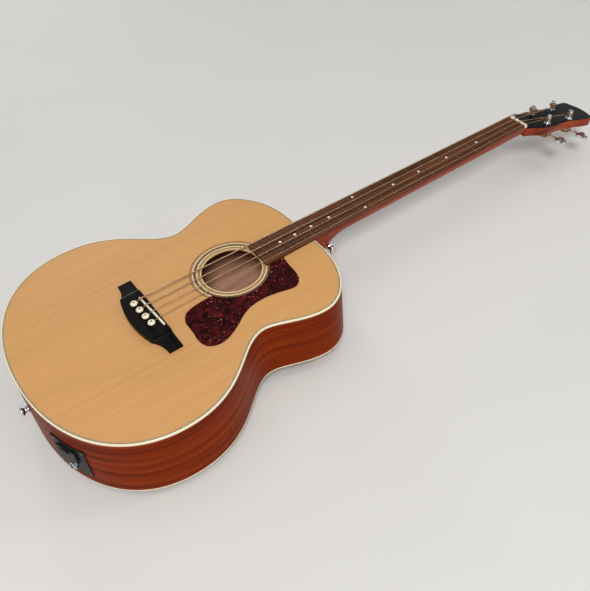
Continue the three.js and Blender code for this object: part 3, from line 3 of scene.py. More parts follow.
import bmesh
import bpy
from mathutils import Matrix, Vector
from mathutils.bvhtree import BVHTree
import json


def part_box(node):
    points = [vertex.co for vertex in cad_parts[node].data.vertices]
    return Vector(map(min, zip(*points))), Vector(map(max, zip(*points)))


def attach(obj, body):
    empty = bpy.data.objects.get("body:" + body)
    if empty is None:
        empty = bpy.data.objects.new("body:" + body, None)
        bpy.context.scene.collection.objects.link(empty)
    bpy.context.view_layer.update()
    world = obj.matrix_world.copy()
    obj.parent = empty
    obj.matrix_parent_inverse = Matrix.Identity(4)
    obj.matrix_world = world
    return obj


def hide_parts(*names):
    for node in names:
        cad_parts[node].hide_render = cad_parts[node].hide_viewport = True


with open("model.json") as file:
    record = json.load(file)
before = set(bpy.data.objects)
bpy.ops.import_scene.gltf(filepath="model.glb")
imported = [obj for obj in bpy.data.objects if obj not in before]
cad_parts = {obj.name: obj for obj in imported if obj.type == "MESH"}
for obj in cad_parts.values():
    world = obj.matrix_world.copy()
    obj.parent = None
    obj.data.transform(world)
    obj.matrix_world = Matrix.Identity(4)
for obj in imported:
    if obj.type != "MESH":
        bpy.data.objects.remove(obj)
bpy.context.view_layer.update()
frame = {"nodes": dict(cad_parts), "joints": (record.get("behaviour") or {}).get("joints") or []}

# Studio: the guitar lies on its back on a plain pale floor. A soft lamp stands high at its treble side, and
# weaker ones at its bass side and past its head. Places are drawn in millimetres: x = 0 at the nut, y = 0 on
# the centre line and z = 0 on the soundboard's face. to_frame turns them into the frame's metres.
MM = 0.001
nut_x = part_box("nut")[0].x
face_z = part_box("soundboard")[1].z
to_frame = Matrix.Translation((nut_x, 0, face_z)) @ Matrix.Diagonal((MM, MM, MM, 1))


def paint(code):
    """Linear colour of a paint written as six hexadecimal digits."""
    shares = [int(code[i:i + 2], 16) / 255 for i in (0, 2, 4)]
    return [((s + 0.055) / 1.055) ** 2.4 if s > 0.04045 else s / 12.92 for s in shares] + [1.0]


def new_look(name, colour, roughness, metallic=0.0, coat=0.0, coat_roughness=0.1, specular=0.5):
    look = bpy.data.materials.new(name)
    look.use_nodes = True
    values = {
        "Base Color": paint(colour), "Roughness": roughness, "Metallic": metallic, "Coat Weight": coat,
        "Coat Roughness": coat_roughness, "Specular IOR Level": specular,
    }
    for socket, value in values.items():
        look.node_tree.nodes["Principled BSDF"].inputs[socket].default_value = value
    return look


def add_node(tree, kind, sockets=None, **settings):
    """A node in a tree. A socket takes a number, a colour, a node's output or a node, for its first one."""
    node = tree.nodes.new(kind)
    for name, value in settings.items():
        setattr(node, name, value)
    for name, value in (sockets or {}).items():
        if isinstance(value, bpy.types.Node):
            value = value.outputs[0]
        if isinstance(value, bpy.types.NodeSocket):
            tree.links.new(value, node.inputs[name])
        else:
            node.inputs[name].default_value = value
    return node


def worked(tree, operation, first, second=0.0):
    return add_node(tree, "ShaderNodeMath", {0: first, 1: second}, operation=operation).outputs[0]


def stops(tree, factor, *places):
    """A colour ramp: each place is a share of the way and a paint or a grey level."""
    node = add_node(tree, "ShaderNodeValToRGB", {"Fac": factor})
    elements = node.color_ramp.elements
    while len(elements) < len(places):
        elements.new(1.0)
    for element, (share, colour) in zip(elements, places):
        element.position = share
        element.color = paint(colour) if isinstance(colour, str) else [colour, colour, colour, 1.0]
    return node.outputs["Color"]


def mixed(tree, factor, first, second, blend="MIX"):
    """Two colours mixed. A mix node takes colours at its inputs 6 and 7 and gives one at its output 2."""
    sockets = {0: factor, 6: first, 7: second}
    return add_node(tree, "ShaderNodeMix", sockets, data_type="RGBA", blend_type=blend).outputs[2]


def cloudy(tree, scale, detail=4.0, roughness=0.55, distortion=0.0, turn=(0, 0, 0), where=None):
    """Noise over the object's own coordinates. Its scale is one number, or one each along X, Y and Z."""
    sockets = {
        "Vector": where or add_node(tree, "ShaderNodeTexCoord").outputs["Object"],
        "Scale": scale if isinstance(scale, tuple) else (scale, scale, scale),
        "Rotation": turn,
    }
    sockets = {
        "Vector": add_node(tree, "ShaderNodeMapping", sockets), "Scale": 1.0, "Detail": detail,
        "Roughness": roughness, "Distortion": distortion,
    }
    return add_node(tree, "ShaderNodeTexNoise", sockets).outputs["Fac"]


def spread(tree, factor, low, high):
    """A factor from 0 to 1, spread over a range."""
    sockets = {"Value": factor, "To Min": low, "To Max": high}
    return add_node(tree, "ShaderNodeMapRange", sockets).outputs["Result"]


def finish_with(look, colour=None, roughness=None, height=None, depth=0.0001, strength=0.5):
    """Links what varies over the surface to the look's shader."""
    tree = look.node_tree
    normal = None
    if height is not None:
        sockets = {"Height": height, "Distance": depth, "Strength": strength}
        normal = add_node(tree, "ShaderNodeBump", sockets).outputs["Normal"]
    for socket, value in (("Base Color", colour), ("Roughness", roughness), ("Normal", normal)):
        if value is not None:
            tree.links.new(value, tree.nodes["Principled BSDF"].inputs[socket])


def varied(name, colour, roughness, tones, gloss=None, bumps=None, **settings):
    """A look that drifts between two paints, between two roughnesses and in height, each by its own noise."""
    look = new_look(name, colour, roughness, **settings)
    tree = look.node_tree
    finish_with(look, mixed(tree, cloudy(tree, *tones[0]), paint(tones[1]), paint(tones[2])))
    if gloss:
        finish_with(look, roughness=spread(tree, cloudy(tree, *gloss[0]), gloss[1], gloss[2]))
    if bumps:
        finish_with(look, height=cloudy(tree, *bumps[0]), depth=bumps[1], strength=bumps[2])
    return look


def rectangle(low, high, half):
    """Corners of a rectangle from one x to another, and as far to each side."""
    return [Vector(corner) for corner in ((low, -half), (high, -half), (high, half), (low, half))]


def placed(name, data):
    """A new object of the scene."""
    thing = bpy.data.objects.new(name, data)
    bpy.context.scene.collection.objects.link(thing)
    return thing


camera_at = to_frame @ Vector((-1012.03, -820.67, 846.69))
camera_right = Vector((0.81583, -0.57345, -0.07465)).normalized()
camera_down = Vector((-0.45528, -0.55732, -0.69435)).normalized()
focal_share = 774 / 591
sensor_width = 36
camera = placed("camera", bpy.data.cameras.new("camera"))
camera.data.sensor_width = sensor_width
camera.data.lens = focal_share * sensor_width
camera.data.clip_end = 50
turned_to = Matrix((camera_right, -camera_down, -camera_right.cross(camera_down))).transposed()
camera.matrix_world = Matrix.Translation(camera_at) @ turned_to.to_4x4()
bpy.context.scene.camera = camera

lamps_face = Vector((-0.2, 0, 0.1))
for lamp_name, lamp_at, lamp_size, lamp_power in (
    ("treble_side_lamp", (-1.48, -2.35, 3.36), 1.1, 112),
    ("bass_side_lamp", (0.44, 4.16, 1.33), 0.95, 30),
    ("head_lamp", (3.6, -1.6, 2.6), 1.4, 30),
):
    lamp = placed(lamp_name, bpy.data.lights.new(lamp_name, "AREA"))
    lamp.data.shape = "DISK"
    lamp.data.size = lamp_size
    lamp.data.energy = lamp_power
    lamp.location = lamp_at
    lamp.rotation_euler = (lamps_face - Vector(lamp_at)).to_track_quat("-Z", "Y").to_euler()

world = bpy.data.worlds.new("studio")
world.use_nodes = True
sky = world.node_tree
sky_way = add_node(sky, "ShaderNodeTexCoord").outputs["Generated"]
sky_height = add_node(sky, "ShaderNodeSeparateXYZ", {0: sky_way}).outputs["Z"]
sky_glow = stops(sky, sky_height, (0.0, 0.72), (0.08, 0.6), (0.17, 0.16), (0.75, 0.24), (1.0, 1.3))
sky.links.new(sky_glow, sky.nodes["Background"].inputs["Color"])
bpy.context.scene.world = world
bpy.context.scene.view_settings.view_transform = "Standard"

floor_half, floor_sunk = 14, 0.0002
floor_mesh = bpy.data.meshes.new("floor")
floor_corners = rectangle(-floor_half, floor_half, floor_half)
floor_mesh.from_pydata([(*corner, -floor_sunk) for corner in floor_corners], [], [(0, 1, 2, 3)])
floor_mesh.materials.append(varied("pale_floor", "d6d4d0", 0.7, ((3, 2), "d8d6d2", "d3d1cd")))
floor = placed("floor", floor_mesh)


# Soundboard: two bookmatched halves of spruce, planed to 2.8 mm and lacquered satin over an amber tint. Its
# rim carries a cream binding, with a dark, a cream and a dark purfling line let in beside it.
body_length = 509
lower_width, lower_share = 437, 0.326
waist_width, waist_share = 274, 0.662
upper_width, upper_share = 327, 0.846
shoulder_width = 88
depth_at_neck, depth_at_tail = 96.5, 120.5
joint_fret, joint_past_fret = 17, 3.5
scale_length, saddle_compensation = 781, 1.8
top_thickness = 2.8
binding_width, binding_height = 2, 3.3
purfling_edges = (2.05, 2.95, 3.4, 4.0)
purfling_depth = 1.4
hole_share, hole_radius, rosette_radius = 0.4963, 48.7, 68
rosette_thickness = 1.2
outline_steps, seam = 40, 0.05


def fret_distance(n):
    return scale_length * (1 - 2 ** (-n / 12))


joint_x = -fret_distance(joint_fret) - joint_past_fret
tail_x = joint_x - body_length
saddle_line_x = -scale_length - saddle_compensation
hole_x = joint_x + (saddle_line_x - joint_x) * hole_share
lower_x = tail_x + body_length * lower_share


def bezier(a, b, c, d, t):
    u = 1 - t
    return a * u ** 3 + b * (3 * u * u * t) + c * (3 * u * t * t) + d * t ** 3


def body_outline():
    """Points round the body, each with the way out: the bass side from the tail, then the treble side."""
    lower = Vector((lower_x, lower_width / 2))
    waist = Vector((tail_x + body_length * waist_share, waist_width / 2))
    upper = Vector((tail_x + body_length * upper_share, upper_width / 2))
    shoulder = Vector((joint_x, shoulder_width / 2))
    to_waist, to_upper = waist.x - lower.x, upper.x - waist.x
    bends = (
        (Vector((tail_x, 0)), Vector((tail_x, lower.y * 0.6)),
         Vector((lower.x - (lower.x - tail_x) * 0.62, lower.y)), lower),
        (lower, Vector((lower.x + to_waist * 0.57, lower.y)),
         Vector((waist.x - to_waist * 0.27, waist.y)), waist),
        (waist, Vector((waist.x + to_upper * 0.24, waist.y)),
         Vector((upper.x - to_upper * 0.4, upper.y)), upper),
        (upper, Vector((upper.x + (joint_x - upper.x) * 0.59, upper.y)),
         Vector((joint_x, shoulder.y + (upper.y - shoulder.y) * 0.51)), shoulder),
    )
    half = []
    for b, bend in enumerate(bends):
        for i in range(0 if b == 0 else 1, outline_steps + 1):
            t = i / outline_steps
            point = bezier(*bend, t)
            ahead = (bezier(*bend, min(t + 0.001, 1)) - bezier(*bend, max(t - 0.001, 0))).normalized()
            half.append((point, Vector((-ahead.y, ahead.x))))
    half += [(Vector((joint_x, shoulder.y * share)), Vector((1, 0))) for share in (0.5, 0)]
    mirrored = [(Vector((p.x, -p.y)), Vector((n.x, -n.y))) for p, n in half[-2:0:-1]]
    return half + mirrored


rim_points = body_outline()


def side_depth(x):
    return depth_at_neck + (depth_at_tail - depth_at_neck) * (joint_x - x) / body_length


def circle(centre, radius, sides=96):
    angles = [2 * math.pi * k / sides for k in range(sides)]
    return [Vector((centre[0] + radius * math.cos(a), centre[1] + radius * math.sin(a))) for a in angles]


def mesh_of(points, faces, matrix=Matrix.Identity(4), slots=None):
    """A mesh of points in millimetres, with its doubles merged and its faces turned out."""
    mesh = bpy.data.meshes.new("mesh")
    mesh.from_pydata(points, [], faces)
    if slots:
        mesh.polygons.foreach_set("material_index", slots)
    work = bmesh.new()
    work.from_mesh(mesh)
    bmesh.ops.remove_doubles(work, verts=work.verts, dist=0.001)
    bmesh.ops.recalc_face_normals(work, faces=work.faces)
    work.to_mesh(mesh)
    work.free()
    mesh.transform(to_frame @ matrix)
    return mesh


def loft(rings, matrix=Matrix.Identity(4), closed_run=False, capped=True):
    """A skin over rings of points. A closed run comes back to its first ring."""
    count = len(rings[0])
    points = [p for ring in rings for p in ring]
    faces = []
    for r in range(len(rings) if closed_run else len(rings) - 1):
        here, beyond = r * count, (r + 1) % len(rings) * count
        for i in range(count):
            j = (i + 1) % count
            faces.append((here + i, here + j, beyond + j, beyond + i))
    if capped and not closed_run:
        faces.append(tuple(range(count)))
        faces.append(tuple(range(len(points) - count, len(points))))
    return mesh_of(points, faces, matrix)


def plate(loops, bottom, top, matrix=Matrix.Identity(4)):
    """A flat plate with square edges: its first loop is the outline and the others are holes."""
    drawing = bpy.data.curves.new("drawing", "CURVE")
    drawing.dimensions = "2D"
    drawing.fill_mode = "BOTH"
    drawing.extrude = (top - bottom) / 2
    for loop in loops:
        spline = drawing.splines.new("POLY")
        spline.points.add(len(loop) - 1)
        for point, at in zip(spline.points, loop):
            point.co = (at[0], at[1], 0, 1)
        spline.use_cyclic_u = True
    holder = placed("drawing", drawing)
    graph = bpy.context.evaluated_depsgraph_get()
    flat = bpy.data.meshes.new_from_object(holder.evaluated_get(graph))
    points = [v.co + Vector((0, 0, (top + bottom) / 2)) for v in flat.vertices]
    faces = [tuple(p.vertices) for p in flat.polygons]
    bpy.data.objects.remove(holder)
    bpy.data.curves.remove(drawing)
    bpy.data.meshes.remove(flat)
    return mesh_of(points, faces, matrix)


def shown(name, mesh, looks, smooth_angle=35):
    """A mesh as an object of the scene, shaded smooth over gentle edges."""
    mesh.name = name
    for look in looks if isinstance(looks, list) else [looks]:
        mesh.materials.append(look)
    mesh.shade_smooth()
    mesh.set_sharp_from_angle(angle=math.radians(smooth_angle))
    return placed(name, mesh)


def result_of(piece):
    """What a piece's modifiers make of it, as a plain mesh."""
    bpy.context.view_layer.update()
    graph = bpy.context.evaluated_depsgraph_get()
    made = bpy.data.meshes.new_from_object(
        piece.evaluated_get(graph), preserve_all_data_layers=True, depsgraph=graph,
    )
    made.name = piece.name
    return made


def applied(piece):
    """Turns a piece with its modifiers into a plain mesh."""
    made = result_of(piece)
    piece.modifiers.clear()
    piece.data = made
    return piece


def carved(piece, *cutters, operation="DIFFERENCE"):
    """Cuts a piece with plain meshes, or joins them to it."""
    tools = [placed("tool", cutter) for cutter in cutters]
    for tool in tools:
        step = piece.modifiers.new("carved", "BOOLEAN")
        step.operation = operation
        step.solver = "EXACT"
        step.object = tool
    applied(piece)
    for tool in tools:
        bpy.data.objects.remove(tool)
    return piece


def rounded(piece, width, segments=3, angle=40):
    """Rounds a piece's sharp edges by a width in millimetres."""
    bevel = piece.modifiers.new("rounded", "BEVEL")
    bevel.width = width * MM
    bevel.segments = segments
    bevel.limit_method = "ANGLE"
    bevel.angle_limit = math.radians(angle)
    bevel.harden_normals = True
    return applied(piece)


def fitted(piece, body, slot, *nodes):
    """Attaches a piece to the body that it moves with and hides the CAD nodes that it stands for. Its slot, a
    finish in the record, is not used.
    """
    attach(piece, body)
    if nodes:
        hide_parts(*nodes)
    return piece


def wood(name, pale, middle, dark, grain, pores, figure, roughness, coat=0.0, matched=False,
         pore_depth=0.00005, specular=0.5, figured=0.8, pored=0.5):
    """Lacquered or bare wood: grain lines, pores and slow figure, each scaled along X, Y and Z."""
    look = new_look(name, middle, roughness, coat=coat, coat_roughness=0.16, specular=specular)
    tree = look.node_tree
    where = add_node(tree, "ShaderNodeTexCoord").outputs["Object"]
    if matched:
        apart = add_node(tree, "ShaderNodeSeparateXYZ", {0: where})
        across = worked(tree, "ABSOLUTE", apart.outputs["Y"])
        sockets = {0: apart.outputs["X"], 1: across, 2: apart.outputs["Z"]}
        where = add_node(tree, "ShaderNodeCombineXYZ", sockets)
    lines = cloudy(tree, grain, 3.0, 0.6, where=where)
    tone = cloudy(tree, figure, 3.0, 0.5, 0.4, where=where)
    specks = cloudy(tree, pores, 2.0, 0.7, where=where)
    colour = stops(tree, lines, (0.3, dark), (0.47, middle), (0.66, pale))
    broad = stops(tree, tone, (0.32, 0.8), (0.5, 0.97), (0.7, 1.0))
    colour = mixed(tree, figured, colour, broad, "MULTIPLY")
    open_pores = stops(tree, specks, (0.3, 0.5), (0.4, 1.0))
    colour = mixed(tree, pored, colour, open_pores, "MULTIPLY")
    rough = spread(tree, lines, roughness + 0.08, roughness - 0.06)
    finish_with(look, colour, rough, mixed(tree, 0.5, open_pores, lines), pore_depth, 0.4)
    return look


spruce_look = wood(
    "lacquered_spruce", "d29e62", "cc975b", "c38d52",
    grain=(1.6, 640, 40), pores=(60, 900, 60), figure=(5, 16, 4), roughness=0.34, coat=0.2, matched=True,
    pore_depth=0.00002, figured=0.3, pored=0.08,
)
top_loop = [point - out * purfling_edges[-1] for point, out in rim_points]
soundboard = shown(
    "soundboard_top", plate([top_loop, circle((hole_x, 0), hole_radius)], -top_thickness, 0), spruce_look,
)
recess = plate([circle((hole_x, 0), rosette_radius + seam)], -rosette_thickness - seam, 1)
fitted(carved(soundboard, recess), "root", "spruce_top", "soundboard")


def rim_strip(section, height_at=lambda p: 0):
    """A strip right round the body: its section is a list of distances in from the side and heights."""
    rings = []
    for point, out in rim_points:
        base = height_at(point)
        rings.append([(*(point - out * inset), base + height) for inset, height in section])
    return loft(rings, closed_run=True)


def binding_section(outer):
    """A binding strip with its outer corner scraped round. outer is 1 at the top and -1 at the back."""
    round_corner = [(0.9, 0), (0.45, -0.1), (0.15, -0.4), (0.0, -0.95)]
    square = [(0, -binding_height), (binding_width, -binding_height), (binding_width, 0)]
    return [(inset, height * outer) for inset, height in round_corner + square]


cream_look = varied(
    "cream_binding", "efe3c3", 0.3, ((14, 3), "e6d6ae", "f6ecd0"), ((160, 2), 0.24, 0.36),
    ((300, 3), 0.00002, 0.3), coat=0.3, coat_roughness=0.12,
)
dark_line_look = varied("dark_purfling", "1b1512", 0.4, ((90,), "120d0b", "2a201a"), coat=0.2)
top_binding = shown("top_binding_strip", rim_strip(binding_section(1)), cream_look)
fitted(top_binding, "root", "binding_cream", "top_binding")
for number, purfling_look in enumerate((dark_line_look, cream_look, dark_line_look)):
    start, end = purfling_edges[number], purfling_edges[number + 1]
    strip = rim_strip([(start, 0), (end, 0), (end, -purfling_depth), (start, -purfling_depth)])
    fitted(shown(f"purfling_line_{number + 1}", strip, purfling_look), "root", "binding_cream")


# Rosette: rings of cream plastic, dark fibre and spruce, let into a routed channel round the soundhole and
# scraped flush. The innermost ring also caps the hole's edge.
rosette_rings = (
    (hole_radius, "cream"), (51.2, "dark"), (52.1, "spruce"), (53.3, "dark"), (54.3, "cream"),
    (57.4, "dark"), (58.2, "walnut"), (60.8, "dark"), (61.6, "cream"), (64.4, "dark"), (65.4, "spruce"),
    (66.8, "dark"), (rosette_radius, None),
)
ring_cream_look = varied(
    "aged_cream_rings", "dcc08d", 0.34, ((40, 3), "d0b07a", "e6cd9e"), ((160, 2), 0.28, 0.42),
    coat=0.25, coat_roughness=0.12,
)
walnut_look = wood(
    "rosette_walnut", "8d6a45", "6c4a2c", "4a2f1a",
    grain=(220, 220, 40), pores=(500, 500, 60), figure=(30, 30, 4), roughness=0.4,
)
ring_looks = {"cream": ring_cream_look, "dark": dark_line_look, "spruce": spruce_look, "walnut": walnut_look}
ring_order = list(ring_looks)
ring_sides = 144
ring_points, ring_faces, ring_slots = [], [], []
for radius, _ in rosette_rings:
    for z in (0, -rosette_thickness):
        ring_points += [(*p, z) for p in circle((hole_x, 0), radius, ring_sides)]
for number, (_, stuff) in enumerate(rosette_rings[:-1]):
    low, high = 2 * number * ring_sides, 2 * (number + 1) * ring_sides
    for i in range(ring_sides):
        j = (i + 1) % ring_sides
        ring_faces.append((low + i, low + j, high + j, high + i))
        ring_faces.append(tuple(ring_sides + k for k in (low + i, high + i, high + j, low + j)))
        ring_slots += [ring_order.index(stuff)] * 2
for low in (0, 2 * (len(rosette_rings) - 1) * ring_sides):
    for i in range(ring_sides):
        j = (i + 1) % ring_sides
        ring_faces.append((low + i, low + j, low + ring_sides + j, low + ring_sides + i))
        ring_slots.append(ring_order.index("cream"))
ring_mesh = mesh_of(ring_points, ring_faces, slots=ring_slots)
rosette_piece = shown("rosette_rings", ring_mesh, list(ring_looks.values()))
fitted(rosette_piece, "root", "rosette_inlay", "rosette")


# Sides: two strips of mahogany, 2.4 mm thick, bent on a hot iron and lacquered, that meet at the tail. The
# treble one has an opening for the battery and jack housing.
side_thickness = 2.4
housing_from_centre, housing_depth = 111, 66
opening_half_width, opening_half_height = 24, 27
opening_inside, opening_outside = 12, 6
mahogany_side_look = wood(
    "lacquered_mahogany_sides", "8d3409", "7a2806", "480f03",
    grain=(2.0, 2.0, 95), pores=(35, 35, 900), figure=(3, 3, 16), roughness=0.36, coat=0.01, specular=0.03,
)
mahogany_look = wood(
    "lacquered_mahogany", "a8400c", "8c2e08", "571504",
    grain=(1.8, 120, 60), pores=(30, 900, 900), figure=(3, 14, 10), roughness=0.32, coat=0.1, matched=True,
    specular=0.16,
)
bare_mahogany_look = wood(
    "bare_mahogany", "d8a688", "c69275", "a4715a",
    grain=(2, 90, 90), pores=(40, 900, 900), figure=(3, 10, 10), roughness=0.75,
)


def walled(name, outer_rows, inner_rows, looks, closed_run=False):
    """A closed shell between an outer and an inner sheet of points. The inner sheet takes the second look."""
    count = len(outer_rows[0])
    inner_start = count * len(outer_rows)
    points = [p for rows in (outer_rows, inner_rows) for row in rows for p in row]
    faces, slots = [], []
    for r in range(len(outer_rows) if closed_run else len(outer_rows) - 1):
        here, beyond = r * count, (r + 1) % len(outer_rows) * count
        for i in range(count - 1):
            faces.append((here + i, here + i + 1, beyond + i + 1, beyond + i))
            slots.append(0)
            faces.append(tuple(inner_start + k for k in faces[-1][::-1]))
            slots.append(1)
        for i in (0,) if closed_run else (0, count - 1):
            faces.append((here + i, beyond + i, inner_start + beyond + i, inner_start + here + i))
            slots.append(0)
    if not closed_run:
        for here in (0, inner_start - count):
            for i in range(here, here + count - 1):
                faces.append((i, i + 1, inner_start + i + 1, inner_start + i))
                slots.append(0)
    return shown(name, mesh_of(points, faces, slots=slots), looks)


half_count = len(rim_points) // 2
tenon_half = 11.3
housing_spot, housing_out = min(
    (place for place in rim_points[half_count:] if place[0].x < lower_x),
    key=lambda place: abs(place[0].y + housing_from_centre),
)
opening_turn = Matrix.Rotation(math.atan2(housing_out.y, housing_out.x), 4, "Z")
opening_at = Matrix.Translation((*housing_spot, -housing_depth)) @ opening_turn
for name, way, run in (
    ("side_bass", 1, rim_points[:half_count + 1]),
    ("side_treble", -1, rim_points[half_count:] + rim_points[:1]),
):
    outer_rows, inner_rows = [], []
    for point, out in run:
        if abs(point.y) < tenon_half and point.x > lower_x:
            continue
        bottom = -side_depth(point.x) + binding_height + seam
        for rows, edge in ((outer_rows, point), (inner_rows, point - out * side_thickness)):
            y = way * max(way * edge.y, seam)
            rows.append([(edge.x, y, z) for z in (-binding_height - seam, bottom)])
    for rows in (outer_rows, inner_rows):
        end = [(x, way * tenon_half, z) for x, _, z in (rows[-1] if way > 0 else rows[0])]
        rows.insert(len(rows) if way > 0 else 0, end)
    strip = walled(f"{name}_strip", outer_rows, inner_rows, [mahogany_side_look, bare_mahogany_look])
    if way < 0:
        opening = rectangle(-opening_inside, opening_outside, opening_half_width)
        carved(strip, plate([opening], -opening_half_height, opening_half_height, opening_at))
    fitted(strip, "root", "mahogany", name)


# Back: an arched plate of mahogany, bookmatched like the top, with its own cream binding. The arch rises 12
# mm from the rim to a spine along the centre line, and is planed flat where it would pass the floor it lies
# on.
back_thickness, back_arch, arch_steps = 3, 12, 14
spine_start = (tail_x + lower_x) / 2
spine_end = joint_x - shoulder_width / 2
outer_rows, inner_rows = [], []
for point, out in rim_points:
    edge = point - out * (binding_width + seam)
    spine_x = spine_start + (edge.x - tail_x) / body_length * (spine_end - spine_start)
    row = []
    for k in range(arch_steps + 1):
        share = k / arch_steps
        x = edge.x + (spine_x - edge.x) * share
        rise = back_arch * (2 * share - share * share)
        row.append((x, edge.y * (1 - share), max(-side_depth(x) - rise, -face_z / MM)))
    outer_rows.append(row)
    inner_rows.append([(x, y, z + back_thickness) for x, y, z in row])
back_plate = walled("back_plate", outer_rows, inner_rows, [mahogany_look, bare_mahogany_look], True)
fitted(back_plate, "root", "mahogany", "back")
back_binding = rim_strip(binding_section(-1), lambda point: -side_depth(point.x))
fitted(shown("back_binding_strip", back_binding, cream_look), "root", "binding_cream", "back_binding")


# Linings: strips of spruce glued into the corners of the box, sawn nearly through every few millimetres so
# that they bend. A thin spine holds the blocks together.
lining_width, lining_height, lining_tip = 6.5, 14, 2.5
kerf_pitch, kerf_width, lining_spine, side_glue, back_glue = 6.0, 1.0, 1.4, 0.1, 0.15
bare_spruce_look = wood(
    "bare_spruce", "dcbd8e", "d0ac78", "b98f5a",
    grain=(2, 400, 60), pores=(60, 900, 300), figure=(3, 12, 8), roughness=0.75,
)


def new_tree(name, **inputs):
    """A Geometry Nodes tree with named inputs for its sizes. Returns it with what its input node gives."""
    tree = bpy.data.node_groups.new(name, "GeometryNodeTree")
    for label, kind in {"Geometry": "Geometry", **inputs}.items():
        tree.interface.new_socket(label, in_out="INPUT", socket_type=f"NodeSocket{kind}")
    tree.interface.new_socket("Geometry", in_out="OUTPUT", socket_type="NodeSocketGeometry")
    return tree, tree.nodes.new("NodeGroupInput").outputs


def end_tree(tree, geometry, look_socket):
    """Realizes what a tree has placed, gives it its look and sends it out."""
    real = add_node(tree, "GeometryNodeRealizeInstances", {0: geometry})
    dressed = add_node(tree, "GeometryNodeSetMaterial", {"Geometry": real, "Material": look_socket})
    add_node(tree, "NodeGroupOutput", {0: dressed})


def grown(name, base, tree, body, slot, *nodes, smooth_angle=35, **values):
    """Runs a tree on a base object and keeps the result as a plain mesh."""
    base.name = name
    step = base.modifiers.new("grown", "NODES")
    step.node_group = tree
    for item in tree.interface.items_tree:
        if item.item_type == "SOCKET" and item.in_out == "INPUT" and item.name in values:
            step[item.identifier] = values[item.name]
    made = result_of(base)
    bpy.data.objects.remove(base)
    return fitted(shown(name, made, [], smooth_angle), body, slot, *nodes)


def path_object(name, points, closed=False):
    """A poly curve in the frame, for a tree to follow."""
    path = bpy.data.curves.new(name, "CURVE")
    path.dimensions = "3D"
    spline = path.splines.new("POLY")
    spline.points.add(len(points) - 1)
    for point, at in zip(spline.points, points):
        point.co = (*(to_frame @ Vector(at)), 1)
    spline.use_cyclic_u = closed
    return placed(name, path)


def about_origin(mesh):
    """Takes a mesh back from the frame to its own origin, in metres, for a tree to copy."""
    mesh.transform(Matrix.Diagonal((MM, MM, MM, 1)) @ to_frame.inverted())
    return mesh


kerf_tree, given = new_tree("kerfed_lining", Pitch="Float", Block="Object", Look="Material")
sockets = {"Curve": given["Geometry"], "Length": given["Pitch"]}
kerf_points = add_node(kerf_tree, "GeometryNodeCurveToPoints", sockets, mode="LENGTH")
kerf_turn = add_node(
    kerf_tree, "FunctionNodeAlignRotationToVector", {"Vector": kerf_points.outputs["Tangent"]},
    axis="X", pivot_axis="Z",
)
kerf_block = add_node(kerf_tree, "GeometryNodeObjectInfo", {"Object": given["Block"]}).outputs["Geometry"]
sockets = {"Points": kerf_points, "Instance": kerf_block, "Rotation": kerf_turn}
kerf_blocks = add_node(kerf_tree, "GeometryNodeInstanceOnPoints", sockets)
end_tree(kerf_tree, kerf_blocks, given["Look"])
near = side_thickness + side_glue
block_half = (kerf_pitch - kerf_width) / 2
for name, way, base_at in (
    ("top_lining", -1, lambda point: -top_thickness - seam),
    ("back_lining", 1, lambda point: -side_depth(point.x) + back_thickness + back_glue),
):
    section = ((0, 0), (lining_width, 0), (lining_tip, way * lining_height), (0, way * lining_height))
    block_rings = [[(x, -inset, height) for inset, height in section] for x in (-block_half, block_half)]
    block = placed("block", about_origin(loft(block_rings)))
    path = [(*(point - out * near), base_at(point)) for point, out in rim_points]
    grown(
        f"{name}_blocks", path_object(name, path, True), kerf_tree, "root", "inner_spruce", name,
        Pitch=kerf_pitch * MM, Block=block, Look=bare_spruce_look, smooth_angle=20,
    )
    bpy.data.objects.remove(block)
    far, tall = near + lining_spine, way * lining_height
    spine = rim_strip([(near, 0), (far, 0), (far, tall), (near, tall)], base_at)
    fitted(shown(f"{name}_spine", spine, bare_spruce_look), "root", "inner_spruce")


# Inside the box: the neck and tail blocks and the bridge plate of bare mahogany, and the braces of split
# spruce. These are the CAD solids with their own woods.
bare_block_look = wood(
    "bare_block_wood", "b08262", "9a6b4e", "7a4e36",
    grain=(60, 3, 90), pores=(700, 40, 900), figure=(8, 3, 10), roughness=0.78,
)
bare_brace_look = wood(
    "bare_brace_spruce", "dcbd8e", "d0ac78", "b98f5a",
    grain=(40, 40, 300), pores=(200, 200, 600), figure=(6, 6, 10), roughness=0.78,
)
steel_look = varied(
    "rod_steel", "9a9c9e", 0.38, (((4, 400, 400),), "85878a", "a8aaac"), (((8, 600, 600),), 0.3, 0.48),
    (((8, 900, 900),), 0.00001, 0.4), metallic=1.0,
)


def dress(node, look):
    """Gives a CAD node that keeps its shape its own look."""
    piece = frame["nodes"][node]
    piece.data.materials.clear()
    piece.data.materials.append(look)


for node in ("neck_block", "tail_block", "bridge_plate"):
    dress(node, bare_block_look)
for node in ("x_brace_treble", "x_brace_bass", "transverse_brace"):
    dress(node, bare_brace_look)
dress("truss_rod", steel_look)


